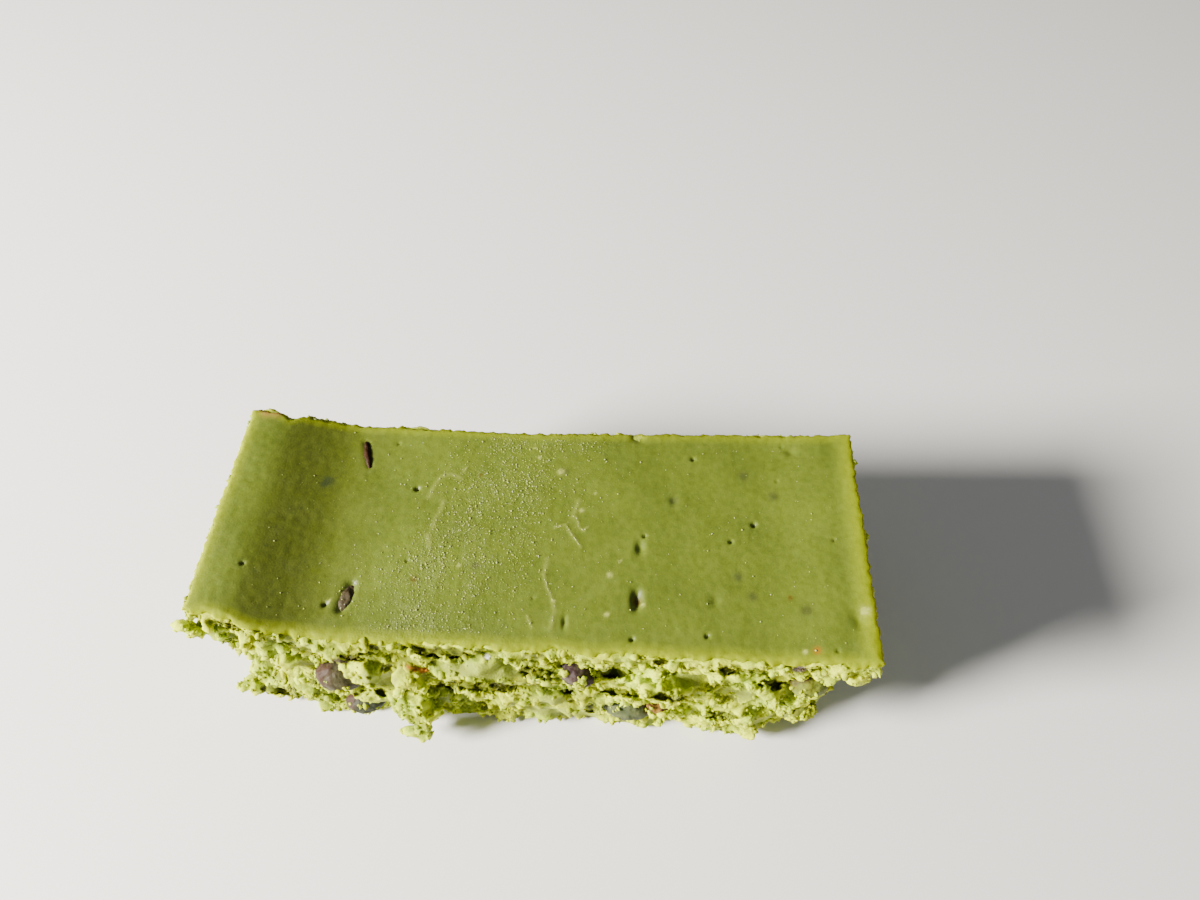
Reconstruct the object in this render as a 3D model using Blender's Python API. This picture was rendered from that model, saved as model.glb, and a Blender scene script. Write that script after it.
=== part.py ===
"""A bar cut from a green tea cheesecake with small red beans baked into it.

The bar stands on its flat base. X runs along it, -Y is the long side with the torn crumb, and
+Z is up. The body is one solid: a smooth skinned top over crumbling sides, with clumps of crumb
fused to them. Each bean, and each scrap of bean skin that shows, is a piece of its own in a
socket of the body. The shape functions work in millimetres, and meshes are written in metres.
"""
import math
import random

import bmesh
import bpy
from mathutils import Euler, Matrix, Vector, noise

MM = 0.001

# Driving sizes, in millimetres
LENGTH = 80.8
FRONT = 16.1
BACK = 15.0
HEIGHT = 27.0
LEFT_RISE = 2.5
RIGHT_RISE = 0.8
CELL = 2.0
GAP = 0.3

# Skinned top, in millimetres: where it starts to curl, over what length, and its low waves
LEFT_CURL = (-25.0, 14.0)
RIGHT_CURL = (27.0, 12.0)
TOP_WAVE_HEIGHT = 0.12
TOP_WAVE_LENGTHS = (13.0, 11.0)

# Outlines, in millimetres: how the long sides leave a straight line
FRONT_LEFT_PINCH = 1.4
PINCH_START = -38.0
PINCH_LENGTH = 8.0
FRONT_WOBBLE = 0.35
WOBBLE_LENGTH = 5.0
BACK_RIGHT_SPREAD = 1.5
SPREAD_START = -10.0
SPREAD_LENGTH = 42.0
RIGHT_END_SPLAY = 0.45
NOTCH_X = -34.9
NOTCH_DEPTH = 0.8
NOTCH_WIDTH = 1.0

# Crumb, in millimetres
UNDERCUT = {"front": 0.8, "back": 0.8, "left": 0.4, "right": 0.5}
COARSE_WAVE = 5.5
COARSE_DEPTH = 1.5
COARSE_FLATNESS = 1.6
FINE_WAVE = 2.9
FINE_DEPTH = 1.5
FINE_FLATNESS = 1.3
RIM_FADE = 5.0
CLUMP_COUNTS = {"front": 34, "back": 33, "left": 11, "right": 11}
CLUMP_SIZE = (1.3, 2.7)
CLUMP_SPACING = 1.1
CLUMP_SUNK = 0.25
CLUMP_UNEVENNESS = 0.5
LONG_SIDE_REACH = 38.0
END_SIDE_REACH = 13.5
ROUND_FROM = 2.15
TOP_FLATNESS = 1.2
BASE_CLEARANCE = 0.25
RIM_CLEARANCE = 0.35
RIM_ROUGHNESS = 0.2
BEAN_CALM = 3.2
BEAN_ROOM = 0.5
END_REACH = 13.0
SIDE_REACH = 11.0

# Crumbled lower front corners, in millimetres: how deep, and at what heights
CORNER_FROM_Y = -5.0
CORNER_LENGTH = 7.0
LEFT_CORNER_DEPTH = 3.6
LEFT_CORNER_HEIGHT = 12.5
LEFT_CORNER_SPREAD = 5.0
RIGHT_CORNER_DEPTH = 2.9
RIGHT_CORNER_FOOT = 2.4
RIGHT_CORNER_TOP = 23.5
RIGHT_CORNER_FADE = 3.0
FOOT_HEIGHT = 12.0
FOOT_FADE = 10.0

# Hollows and swells drawn for the hidden sides, in millimetres: the least and the most
RELIEF_SPACING = 3.4
RELIEF_LENGTHS = (2.0, 4.6)
RELIEF_HEIGHTS = (1.2, 2.3)
HOLLOW_LEVELS = (5, 24)
HOLLOW_DEPTHS = (0.9, 2.0)
SWELL_LEVELS = (3, 22)
SWELL_DEPTHS = (0.5, 1.1)

# Hollows of the front side: centre x and z, half length, half height, depth
FRONT_HOLLOWS = {
    "under the rim, left": (-33.5, 22.5, 3.2, 1.7, 1.5),
    "under the ledge": (-34.5, 13.0, 5.0, 3.0, 1.6),
    "above the large bean": (-22.0, 21.6, 2.6, 1.4, 1.6),
    "under the rim, middle": (-10.5, 24.0, 4.4, 1.3, 2.0),
    "under the shelf": (-9.0, 12.6, 4.6, 2.2, 2.4),
    "beside the broken bean": (11.0, 22.3, 3.4, 1.4, 2.0),
    "above the pale bean": (12.0, 13.6, 3.0, 1.4, 2.0),
    "under the rim, right": (24.0, 22.8, 3.0, 1.6, 1.8),
    "right of the middle": (28.4, 18.6, 1.8, 1.6, 1.4),
    "low on the right": (17.6, 10.4, 3.0, 1.5, 1.3),
    "foot of the side": (-2.0, 3.0, 34.0, 2.6, 0.6),
}

# Swells of the front side: centre x and z, half length, half height, how far they stand out
FRONT_SWELLS = {
    "ledge on the left": (-36.0, 18.4, 5.5, 2.2, 0.9),
    "shelf smeared by the knife": (-8.0, 17.6, 6.5, 2.2, 1.2),
    "lip over the pale bean": (11.0, 11.4, 3.6, 1.4, 0.9),
    "shoulder on the right": (19.0, 18.0, 4.0, 2.6, 0.9),
    "foot on the right": (24.0, 3.0, 9.0, 2.4, 0.6),
}

# Hanging clumps of the front side: chains of balls as x, z, radius and how far they stand out
HANGING_CLUMPS = (
    ((-18.6, 10.8, 2.1, 0.6), (-16.8, 8.9, 2.6, 1.4), (-15.8, 6.7, 2.5, 2.2),
     (-16.0, 4.4, 1.9, 3.0), (-16.2, 2.5, 1.2, 3.4)),
    ((27.6, 5.6, 1.6, 0.3), (28.4, 3.8, 1.2, 0.9), (28.7, 2.2, 0.8, 1.2)),
    ((-20.6, 11.6, 1.7, 0.5), (-20.9, 9.6, 1.3, 0.9)),
    ((-23.0, 20.4, 1.5, 0.4), (-20.9, 18.8, 1.9, 0.8), (-21.0, 16.6, 1.2, 1.2)),
    ((16.4, 20.0, 1.9, 0.4), (16.6, 17.6, 1.4, 0.8)),
)
CORNER_CHUNK = (-38.0, 14.9, 28.9)
CORNER_CHUNK_RADII = (1.3, 0.8, 0.7)

# Beans: side, place along it, height, how far the middle stands out, half sizes, turn in
# degrees, and how crumpled the skin is
BEANS = {
    "bean_1": ("front", -24.5, 15.4, 0.4, (3.2, 2.3, 2.2), (0, 8, 6), 0.05),
    "bean_2": ("front", -23.4, 5.9, 0.2, (2.8, 2.0, 2.0), (0, -14, 10), 0.05),
    "bean_3": ("front", 5.5, 19.6, 0.2, (2.5, 1.7, 1.9), (20, 25, 0), 0.22),
    "bean_4": ("front", 11.8, 7.6, 0.0, (3.2, 1.9, 2.0), (0, 4, -4), 0.05),
    "bean_5": ("front", 34.2, 16.6, 0.4, (2.6, 2.1, 2.2), (0, 18, 12), 0.06),
    "bean_6": ("front", 33.6, 10.6, 0.3, (2.4, 1.9, 1.7), (0, -10, 8), 0.06),
    "skin_4": ("front", 15.8, 9.9, 0.7, (1.6, 0.75, 0.32), (35, 24, -10), 0.10),
    "back_bean_1": ("back", -29.0, 9.6, 0.2, (3.0, 2.2, 2.1), (0, 15, -6), 0.05),
    "back_bean_2": ("back", -11.5, 18.4, 0.0, (2.8, 2.1, 2.0), (10, -20, 4), 0.08),
    "back_bean_3": ("back", 4.5, 7.4, 0.3, (3.1, 2.2, 2.1), (0, 6, 8), 0.05),
    "back_bean_4": ("back", 17.0, 16.0, 0.1, (2.6, 1.9, 1.9), (0, -12, 0), 0.16),
    "back_bean_5": ("back", 30.5, 10.2, 0.2, (2.9, 2.1, 2.0), (0, 22, -5), 0.05),
    "left_bean_1": ("left", 5.0, 8.4, 0.1, (2.1, 2.9, 2.0), (12, 0, 4), 0.06),
    "left_bean_2": ("left", -3.6, 20.4, 0.0, (1.9, 2.5, 1.8), (-16, 0, 0), 0.12),
    "right_bean_1": ("right", 7.0, 11.4, 0.2, (2.0, 2.8, 2.0), (-10, 0, 6), 0.06),
    "right_bean_2": ("right", -2.5, 19.4, 0.0, (1.9, 2.6, 1.9), (18, 0, -4), 0.10),
}

# Pieces in the top: x, y, how far the middle lies below the skin, then as above
TOP_BEANS = {
    "top_husk": (-24.1, 10.0, 0.15, (2.3, 0.5, 0.5), (0, 0, -72), 0.06),
    "top_bean": (-22.4, -10.5, 1.0, (2.1, 1.25, 1.2), (0, 0, 80), 0.06),
}

GREEN_CRUMB = (0.42, 0.50, 0.10)
DARK_BEAN = (0.09, 0.055, 0.06)
PALE_BEAN = (0.30, 0.33, 0.18)
RED_SKIN = (0.12, 0.03, 0.03)
PALE_BEANS = ("bean_5", "bean_6")
SKIN_PIECES = ("bean_3", "skin_4", "top_husk")


def smooth_step(value):
    """Runs from 0 to 1 with level ends, as its value does."""
    held = max(0.0, min(1.0, value))
    return held * held * (3 - 2 * held)


def bump(distance, width):
    """A round bump, 1 at its middle."""
    return math.exp(-(distance / width) ** 2)


def top_height(x, y):
    """Height of the skinned top: it curls up at the left end and a little at the right."""
    left_start, left_length = LEFT_CURL
    right_start, right_length = RIGHT_CURL
    along, across = TOP_WAVE_LENGTHS
    left = LEFT_RISE * smooth_step((left_start - x) / left_length)
    right = RIGHT_RISE * smooth_step((x - right_start) / right_length)
    wave = TOP_WAVE_HEIGHT * noise.noise(Vector((x / along, y / across, 4.0)))
    return HEIGHT + left + right + wave


def front_line(x):
    """How far the front rim stands from the middle line."""
    pinch = FRONT_LEFT_PINCH * (1 - smooth_step((x - PINCH_START) / PINCH_LENGTH))
    return FRONT - pinch + FRONT_WOBBLE * noise.noise(Vector((x / WOBBLE_LENGTH, 0.0, 9.0)))


def back_line(x):
    """How far the back rim stands from the middle line."""
    notch = NOTCH_DEPTH * bump(x - NOTCH_X, NOTCH_WIDTH)
    return BACK + BACK_RIGHT_SPREAD * smooth_step((x - SPREAD_START) / SPREAD_LENGTH) - notch


def end_line(x, y):
    """The right end splays out a little towards the front."""
    if x < 0:
        return x
    return x - RIGHT_END_SPLAY * smooth_step((y + 16) / 32)


def ragged(along, z, seed):
    """Two sizes of unevenness of torn crumb, longer sideways than upwards."""
    coarse = noise.noise(Vector((along / COARSE_WAVE, z / COARSE_WAVE * COARSE_FLATNESS, seed)))
    fine = noise.noise(Vector((along / FINE_WAVE, z / FINE_WAVE * FINE_FLATNESS, seed + 20)))
    return COARSE_DEPTH * coarse + FINE_DEPTH * fine


def broken_corner(side, y, z):
    """How far an end's lower front corner has crumbled away under the rim."""
    near_front = smooth_step((CORNER_FROM_Y - y) / CORNER_LENGTH)
    if side == "left":
        return near_front * LEFT_CORNER_DEPTH * bump(z - LEFT_CORNER_HEIGHT, LEFT_CORNER_SPREAD)
    under = smooth_step((RIGHT_CORNER_TOP - z) / RIGHT_CORNER_FADE)
    foot = RIGHT_CORNER_FOOT * smooth_step((FOOT_HEIGHT - z) / FOOT_FADE)
    return near_front * under * (RIGHT_CORNER_DEPTH + foot)


def drawn_relief(side, half_length):
    """Hollows and swells for a side that the front's named ones don't reach."""
    draw = random.Random("relief " + side)
    relief = []
    for _ in range(int(half_length / RELIEF_SPACING)):
        along = draw.uniform(-half_length, half_length)
        size = (draw.uniform(*RELIEF_LENGTHS), draw.uniform(*RELIEF_HEIGHTS))
        relief.append((along, draw.uniform(*HOLLOW_LEVELS), *size, draw.uniform(*HOLLOW_DEPTHS)))
        along = draw.uniform(-half_length, half_length)
        relief.append((along, draw.uniform(*SWELL_LEVELS), *size, -draw.uniform(*SWELL_DEPTHS)))
    return relief


def front_relief():
    """The named hollows, and the named swells as hollows of negative depth."""
    swells = [(x, z, long, high, -out) for x, z, long, high, out in FRONT_SWELLS.values()]
    return list(FRONT_HOLLOWS.values()) + swells


RELIEF = {
    "front": front_relief(),
    "back": drawn_relief("back", LONG_SIDE_REACH),
    "left": drawn_relief("left", 15),
    "right": drawn_relief("right", 15),
}
SIDE_SEEDS = {"front": 1.3, "back": 7.7, "left": 13.1, "right": 19.9}


def calm_round_beans(side, along, z):
    """Runs to 0 at a bean, where the crumb closes round it, and is 1 away from all of them."""
    calm = 1.0
    for bean_side, bean_along, bean_z, *_ in BEANS.values():
        if bean_side == side:
            distance = math.hypot(along - bean_along, z - bean_z)
            calm *= 1 - bump(distance, BEAN_CALM)
    return calm


def recess(side, along, z, rim):
    """How far a side lies behind its rim line at this height."""
    below = smooth_step((rim - z) / RIM_FADE)
    depth = 0.0
    for centre, height, long, high, deep in RELIEF[side]:
        depth += deep * bump(along - centre, long) * bump(z - height, high)
    rough = ragged(along, z, SIDE_SEEDS[side])
    crumbled = (depth + rough) * calm_round_beans(side, along, z)
    return below * (UNDERCUT[side] + crumbled) + (1 - below) * RIM_ROUGHNESS * rough


def near(distance, reach):
    """Runs from 1 at a side to 0 at this reach from it."""
    return 1 - smooth_step(distance / reach)


def place_on_bar(x, y, z):
    """Moves a point of the plain block to its place on the bar; y runs from -1 to 1."""
    half = LENGTH / 2
    rim = top_height(x, y)
    height = z / HEIGHT * rim
    across = y * (front_line(x) if y < 0 else back_line(x))
    along = end_line(x, across)
    left_loss = near(x + half, END_REACH) * broken_corner("left", across, height)
    right_loss = near(half - x, END_REACH) * broken_corner("right", across, height)
    moved = left_loss - right_loss
    moved += near(x + half, END_REACH) * recess("left", across, height, rim)
    moved -= near(half - x, END_REACH) * recess("right", across, height, rim)
    inward = recess("front", x, height, rim) + 0.5 * (left_loss + right_loss)
    shifted = near(FRONT * (1 + y), SIDE_REACH) * inward
    shifted -= near(BACK * (1 - y), SIDE_REACH) * recess("back", x, height, rim)
    return Vector((along + moved, across + shifted, height))


def cut_along(bm, axis, length):
    """Cuts every edge that runs along an axis into pieces of about one cell."""
    edges = [e for e in bm.edges if abs((e.verts[0].co - e.verts[1].co).normalized()[axis]) > 0.9]
    cuts = round(length / CELL) - 1
    bmesh.ops.subdivide_edges(bm, edges=edges, cuts=cuts, use_grid_fill=True)


def mesh_object(name, bm, collection):
    """Writes a millimetre bmesh as an object in metres."""
    bmesh.ops.scale(bm, vec=(MM, MM, MM), verts=bm.verts)
    mesh = bpy.data.meshes.new(name)
    bm.to_mesh(mesh)
    bm.free()
    made = bpy.data.objects.new(name, mesh)
    collection.objects.link(made)
    return made


def crumb_block(collection):
    """The bar without its clumps: a cut block whose sides are torn and whose top curls."""
    bm = bmesh.new()
    bmesh.ops.create_cube(bm, size=1)
    bmesh.ops.scale(bm, vec=(LENGTH, 2, HEIGHT), verts=bm.verts)
    bmesh.ops.translate(bm, vec=(0, 0, HEIGHT / 2), verts=bm.verts)
    for axis, length in enumerate((LENGTH, FRONT + BACK, HEIGHT)):
        cut_along(bm, axis, length)
    for vert in bm.verts:
        vert.co = place_on_bar(*vert.co)
    flat = [f for f in bm.faces if all(v.co.z < 1e-5 for v in f.verts)]
    bmesh.ops.dissolve_faces(bm, faces=flat)
    bmesh.ops.recalc_face_normals(bm, faces=bm.faces)
    inner = [v for v in bm.verts if all(f.normal.z > 0.95 for f in v.link_faces)]
    between = [e for e in bm.edges if e.verts[0] in inner and e.verts[1] in inner]
    level = math.radians(TOP_FLATNESS)
    bmesh.ops.dissolve_limit(bm, angle_limit=level, verts=inner, edges=between)
    return mesh_object("cheesecake", bm, collection)


def ball_detail(radius):
    """Only the largest balls of crumb are round enough to need finer faces."""
    return 2 if radius > ROUND_FROM else 1


def lump(name, centre, radii, turn, detail, collection):
    """One clump of crumb: a ball, stretched, turned and made uneven."""
    bm = bmesh.new()
    bmesh.ops.create_icosphere(bm, subdivisions=detail, radius=1)
    turned = Euler(turn).to_matrix()
    offset = Vector(centre)
    for vert in bm.verts:
        swell = 1 + CLUMP_UNEVENNESS * noise.noise(vert.co * 1.6 + offset)
        vert.co = offset + turned @ (vert.co * Vector(radii) * swell)
    return mesh_object(name, bm, collection)


def side_point(side, along, z):
    """The place on a side's torn face at this length and height, and the way out of it."""
    half = LENGTH / 2
    lengthwise = side in ("front", "back")
    sign = -1 if side in ("front", "left") else 1
    asked = Vector((along, z))
    tried = asked.copy()
    for _ in range(6):
        if lengthwise:
            place = place_on_bar(tried.x, sign, tried.y)
        else:
            place = place_on_bar(sign * half, tried.x / FRONT, tried.y)
        tried += asked - Vector((place.x if lengthwise else place.y, place.z))
    return place, Vector((0, sign, 0)) if lengthwise else Vector((sign, 0, 0))


def bean_layout():
    """Every bean's centre, half sizes, turn in radians, and crumple."""
    layout = {}
    for name, (side, along, z, out, radii, turn, crumple) in BEANS.items():
        place, away = side_point(side, along, z)
        layout[name] = (place + away * out, radii, Euler(map(math.radians, turn)), crumple)
    for name, (x, y, sunk, radii, turn, crumple) in TOP_BEANS.items():
        place = Vector((x, y, top_height(x, y / FRONT) - sunk))
        layout[name] = (place, radii, Euler(map(math.radians, turn)), crumple)
    return layout


def near_a_bean(place, reach, layout):
    """Whether a clump here would cover a bean."""
    for centre, radii, _, _ in layout.values():
        if (place - centre).length < max(radii) + reach:
            return True
    return False


def scatter_clumps(side, layout, collection):
    """Clumps fused to one side, larger near the top and finer near the foot."""
    draw = random.Random("clumps " + side)
    reach = LONG_SIDE_REACH if side in ("front", "back") else END_SIDE_REACH
    placed = []
    while len(placed) < CLUMP_COUNTS[side]:
        size = draw.uniform(*CLUMP_SIZE)
        along = draw.uniform(-reach, reach)
        z = draw.uniform(size + BASE_CLEARANCE, HEIGHT - 0.8 * size - RIM_CLEARANCE)
        size *= 0.75 + 0.25 * z / HEIGHT
        place, out = side_point(side, along, z)
        place -= out * size * CLUMP_SUNK
        crowded = any((place - other).length < CLUMP_SPACING * (size + was) for other, was in placed)
        if crowded or near_a_bean(place, BEAN_ROOM * size, layout):
            continue
        placed.append((place, size))
        radii = (size * draw.uniform(0.9, 1.3), size * draw.uniform(0.8, 1.2), size * 0.75)
        if side in ("left", "right"):
            radii = (radii[1], radii[0], radii[2])
        lift = max(0.0, radii[2] * 1.2 + BASE_CLEARANCE - place.z)
        turn = (0, draw.uniform(-0.35, 0.35), draw.uniform(-0.3, 0.3))
        centre = place + Vector((0, 0, lift))
        lump(f"clump_{side}", centre, radii, turn, ball_detail(size), collection)


def hang_clumps(collection):
    """Chains of balls that hang from the torn front, and the pale chunk at the back corner."""
    for chain in HANGING_CLUMPS:
        for x, z, radius, out in chain:
            place, away = side_point("front", x, z)
            radii = (radius, radius * 0.9, radius)
            centre = place + away * out
            lump("hanging", centre, radii, (0, 0, 0), ball_detail(radius), collection)
    lump("chunk", CORNER_CHUNK, CORNER_CHUNK_RADII, (0, 0.1, 0.2), 2, collection)


def combine(body, operation, tools):
    """Joins a collection to the body, or cuts it away, and removes the collection's objects."""
    step = body.modifiers.new(operation.title(), "BOOLEAN")
    step.operation = operation
    step.operand_type = "COLLECTION"
    step.collection = tools
    step.solver = "MANIFOLD"
    graph = bpy.context.evaluated_depsgraph_get()
    mesh = bpy.data.meshes.new_from_object(body.evaluated_get(graph))
    body.modifiers.clear()
    body.data = mesh
    for tool in list(tools.objects):
        bpy.data.objects.remove(tool)


def largest_shell(body):
    """Keeps the body's outer shell, and drops scraps and sealed hollows."""
    bm = bmesh.new()
    bm.from_mesh(body.data)
    bmesh.ops.triangulate(bm, faces=bm.faces)
    waiting = set(bm.faces)
    shells = []
    while waiting:
        queue = [waiting.pop()]
        shell = []
        while queue:
            face = queue.pop()
            shell.append(face)
            for edge in face.edges:
                for neighbour in edge.link_faces:
                    if neighbour in waiting:
                        waiting.remove(neighbour)
                        queue.append(neighbour)
        shells.append(shell)
    shells.sort(key=len)
    scraps = [face for shell in shells[:-1] for face in shell]
    bmesh.ops.delete(bm, geom=scraps, context="FACES")
    bm.to_mesh(body.data)
    bm.free()


def bean(name, shape, collection, grow=0.0):
    """A small bean: a ball stretched to its half sizes, with an uneven skin."""
    centre, radii, turn, crumple = shape
    bm = bmesh.new()
    bmesh.ops.create_uvsphere(bm, u_segments=10, v_segments=7, radius=1)
    lie_down = Matrix.Rotation(math.pi / 2, 3, "X" if radii[1] > radii[0] else "Y")
    turned = turn.to_matrix()
    grown = Vector([radius + grow for radius in radii])
    for vert in bm.verts:
        point = lie_down @ vert.co
        swell = 1 + crumple * noise.noise(point * 1.9 + centre)
        vert.co = centre + turned @ (point * grown * swell)
    return mesh_object(name, bm, collection)


def finish(name, colour, roughness):
    """A plain Principled material."""
    material = bpy.data.materials.new(name)
    material.use_nodes = True
    shader = material.node_tree.nodes["Principled BSDF"]
    shader.inputs["Base Color"].default_value = (*colour, 1)
    shader.inputs["Roughness"].default_value = roughness
    shader.inputs["Metallic"].default_value = 0
    return material


def new_collection(name):
    """A collection linked to the scene."""
    made = bpy.data.collections.new(name)
    bpy.context.scene.collection.children.link(made)
    return made


def centre_on_origin(pieces):
    """Sets the base's middle on the origin, as the whole outline gives it."""
    low = Vector((1e9, 1e9, 1e9))
    high = -low
    for piece in pieces:
        for vert in piece.data.vertices:
            low = Vector(map(min, low, vert.co))
            high = Vector(map(max, high, vert.co))
    middle = (low + high) / 2
    shift = Matrix.Translation((-middle.x, -middle.y, -low.z))
    for piece in pieces:
        piece.data.transform(shift)
    print("moved by", [round(value / MM, 3) for value in shift.translation])


def build():
    for old in list(bpy.data.objects):
        bpy.data.objects.remove(old)
    parts = new_collection("cheesecake_bar")
    clumps = new_collection("clumps")
    sockets = new_collection("sockets")
    body = crumb_block(parts)
    layout = bean_layout()
    for side in CLUMP_COUNTS:
        scatter_clumps(side, layout, clumps)
    hang_clumps(clumps)
    combine(body, "UNION", clumps)
    for name, shape in layout.items():
        bean(name + "_socket", shape, sockets, GAP)
    combine(body, "DIFFERENCE", sockets)
    largest_shell(body)
    pieces = [body] + [bean(name, shape, parts) for name, shape in layout.items()]
    crumb = finish("green crumb", GREEN_CRUMB, 0.6)
    dark = finish("dark bean", DARK_BEAN, 0.4)
    pale = finish("pale bean", PALE_BEAN, 0.5)
    red = finish("red skin", RED_SKIN, 0.35)
    body.data.materials.append(crumb)
    for piece in pieces[1:]:
        material = pale if piece.name in PALE_BEANS else red if piece.name in SKIN_PIECES else dark
        piece.data.materials.append(material)
        piece.data.shade_smooth()
    centre_on_origin(pieces)
    faces = sum(len(polygon.vertices) - 2 for polygon in body.data.polygons)
    print("body triangles", faces)


build()
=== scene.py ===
# %% [markdown]
# # A bar of green tea cheesecake with red beans
# This lesson dresses one bar of cheesecake: a smooth skinned top, torn and crumbly sides, and
# small beans that lie in the crumb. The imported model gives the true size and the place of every
# bean. Each cell below adds one finish or one kind of detail on top of it.

# %% Load the frame
import math

import bmesh
import bpy
import numpy as np
from mathutils import Matrix, Vector, noise
from mathutils.bvhtree import BVHTree


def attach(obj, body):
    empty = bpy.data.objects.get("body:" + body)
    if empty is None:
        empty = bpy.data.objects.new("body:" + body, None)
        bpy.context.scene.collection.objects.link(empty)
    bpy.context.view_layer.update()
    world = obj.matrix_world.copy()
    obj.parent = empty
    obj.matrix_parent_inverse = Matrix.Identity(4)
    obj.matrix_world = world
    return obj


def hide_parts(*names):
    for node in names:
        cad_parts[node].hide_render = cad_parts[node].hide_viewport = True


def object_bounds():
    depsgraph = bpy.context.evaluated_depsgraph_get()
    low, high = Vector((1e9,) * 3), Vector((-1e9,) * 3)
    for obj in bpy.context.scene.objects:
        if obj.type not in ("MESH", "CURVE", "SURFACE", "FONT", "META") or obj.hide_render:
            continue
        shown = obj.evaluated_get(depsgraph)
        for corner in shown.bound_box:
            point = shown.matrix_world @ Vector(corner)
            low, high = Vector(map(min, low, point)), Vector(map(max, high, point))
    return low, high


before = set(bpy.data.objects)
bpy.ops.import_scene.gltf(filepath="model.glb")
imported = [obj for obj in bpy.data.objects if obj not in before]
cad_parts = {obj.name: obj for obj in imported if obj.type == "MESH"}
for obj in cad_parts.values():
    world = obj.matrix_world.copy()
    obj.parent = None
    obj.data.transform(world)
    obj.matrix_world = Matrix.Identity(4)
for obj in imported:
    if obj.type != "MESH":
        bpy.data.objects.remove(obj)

CAD_LOW, CAD_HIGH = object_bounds()
MM = 0.001
print("frame nodes:", len(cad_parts))

# %% [markdown]
# ## The camera
# The photo was taken by hand, close above the near long side, with a short lens. A camera that
# tracks an empty would lose the slight roll of the hand. So its place, tilt, pan and roll are
# turned into three directions, which are the columns of the camera's matrix. Packing moved the
# model to put its origin in the middle of the base, and every place below, written in the
# bar's own millimetres, is moved by that much too.

# %% Camera
FRAME_SHIFT = Vector((0.424, 1.169, 0.0))
SHIFT = np.array(FRAME_SHIFT)
EYE = Vector((10.06, -53.96, 121.89))
PITCH, YAW, ROLL = math.radians(54.97), math.radians(-2.98), math.radians(-0.28)
FOCAL_PIXELS, IMAGE_WIDTH, SENSOR, CLIP_START = 870.0, 1200.0, 36.0, 0.005


def photo_camera():
    """A pinhole camera at the photo's place, built from its forward and side directions."""
    forward = Vector((math.sin(YAW) * math.cos(PITCH), math.cos(YAW) * math.cos(PITCH), -math.sin(PITCH)))
    side = Vector((math.cos(YAW), -math.sin(YAW), 0.0))
    down = forward.cross(side)
    rolled = math.cos(ROLL) * side + math.sin(ROLL) * down
    below = -math.sin(ROLL) * side + math.cos(ROLL) * down
    turned = Matrix((rolled, -below, -forward)).transposed().to_4x4()
    data = bpy.data.cameras.new("photo_camera")
    data.sensor_width = SENSOR
    data.lens = FOCAL_PIXELS / IMAGE_WIDTH * SENSOR
    data.clip_start = CLIP_START
    camera = bpy.data.objects.new("photo_camera", data)
    camera.matrix_world = Matrix.Translation((EYE + FRAME_SHIFT) * MM) @ turned
    bpy.context.collection.objects.link(camera)
    return camera


bpy.context.scene.camera = photo_camera()
print("camera lens", round(bpy.context.scene.camera.data.lens, 2), "mm")

# %% [markdown]
# ## The light
# A window on the left lights the bar from low down, so every crumb throws a small shadow, and
# a pale room fills those shadows. A sun lamp would give hard edges. One round area lamp gives
# the soft edge of a window, and an even sky stands in for the room.

# %% Light
SUN_FROM = Vector((-1.0, -0.38, 0.56))
LAMP_DISTANCE, LAMP_SIZE, LAMP_WATTS, LAMP_COLOUR = 0.55, 0.15, 19.0, (1.0, 0.97, 0.90)
SKY_COLOUR, SKY_STRENGTH = (0.95, 0.97, 1.0), 0.20


def window_lamp():
    """One broad lamp on the left, low enough to draw out every crumb."""
    data = bpy.data.lights.new("window_lamp", "AREA")
    data.shape = "DISK"
    data.size = LAMP_SIZE
    data.energy = LAMP_WATTS
    data.color = LAMP_COLOUR
    lamp = bpy.data.objects.new("window_lamp", data)
    lamp.location = SUN_FROM.normalized() * LAMP_DISTANCE
    lamp.rotation_mode = "QUATERNION"
    lamp.rotation_quaternion = SUN_FROM.to_track_quat("Z", "Y")
    bpy.context.collection.objects.link(lamp)


def sky():
    """An even pale sky all round."""
    world = bpy.data.worlds.new("pale_sky")
    world.use_nodes = True
    background = world.node_tree.nodes["Background"]
    background.inputs["Color"].default_value = (*SKY_COLOUR, 1)
    background.inputs["Strength"].default_value = SKY_STRENGTH
    bpy.context.scene.world = world


window_lamp()
sky()
print("lamp and sky set")

# %% [markdown]
# ## Materials
# Every finish here is a Principled shader with a few procedural nodes before it. Wiring those
# by hand repeats the same lines many times, so one small class makes the nodes: noise in true
# millimetres, ramps, mixes, sums, bumps and numbers that the mesh itself carries.

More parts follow.
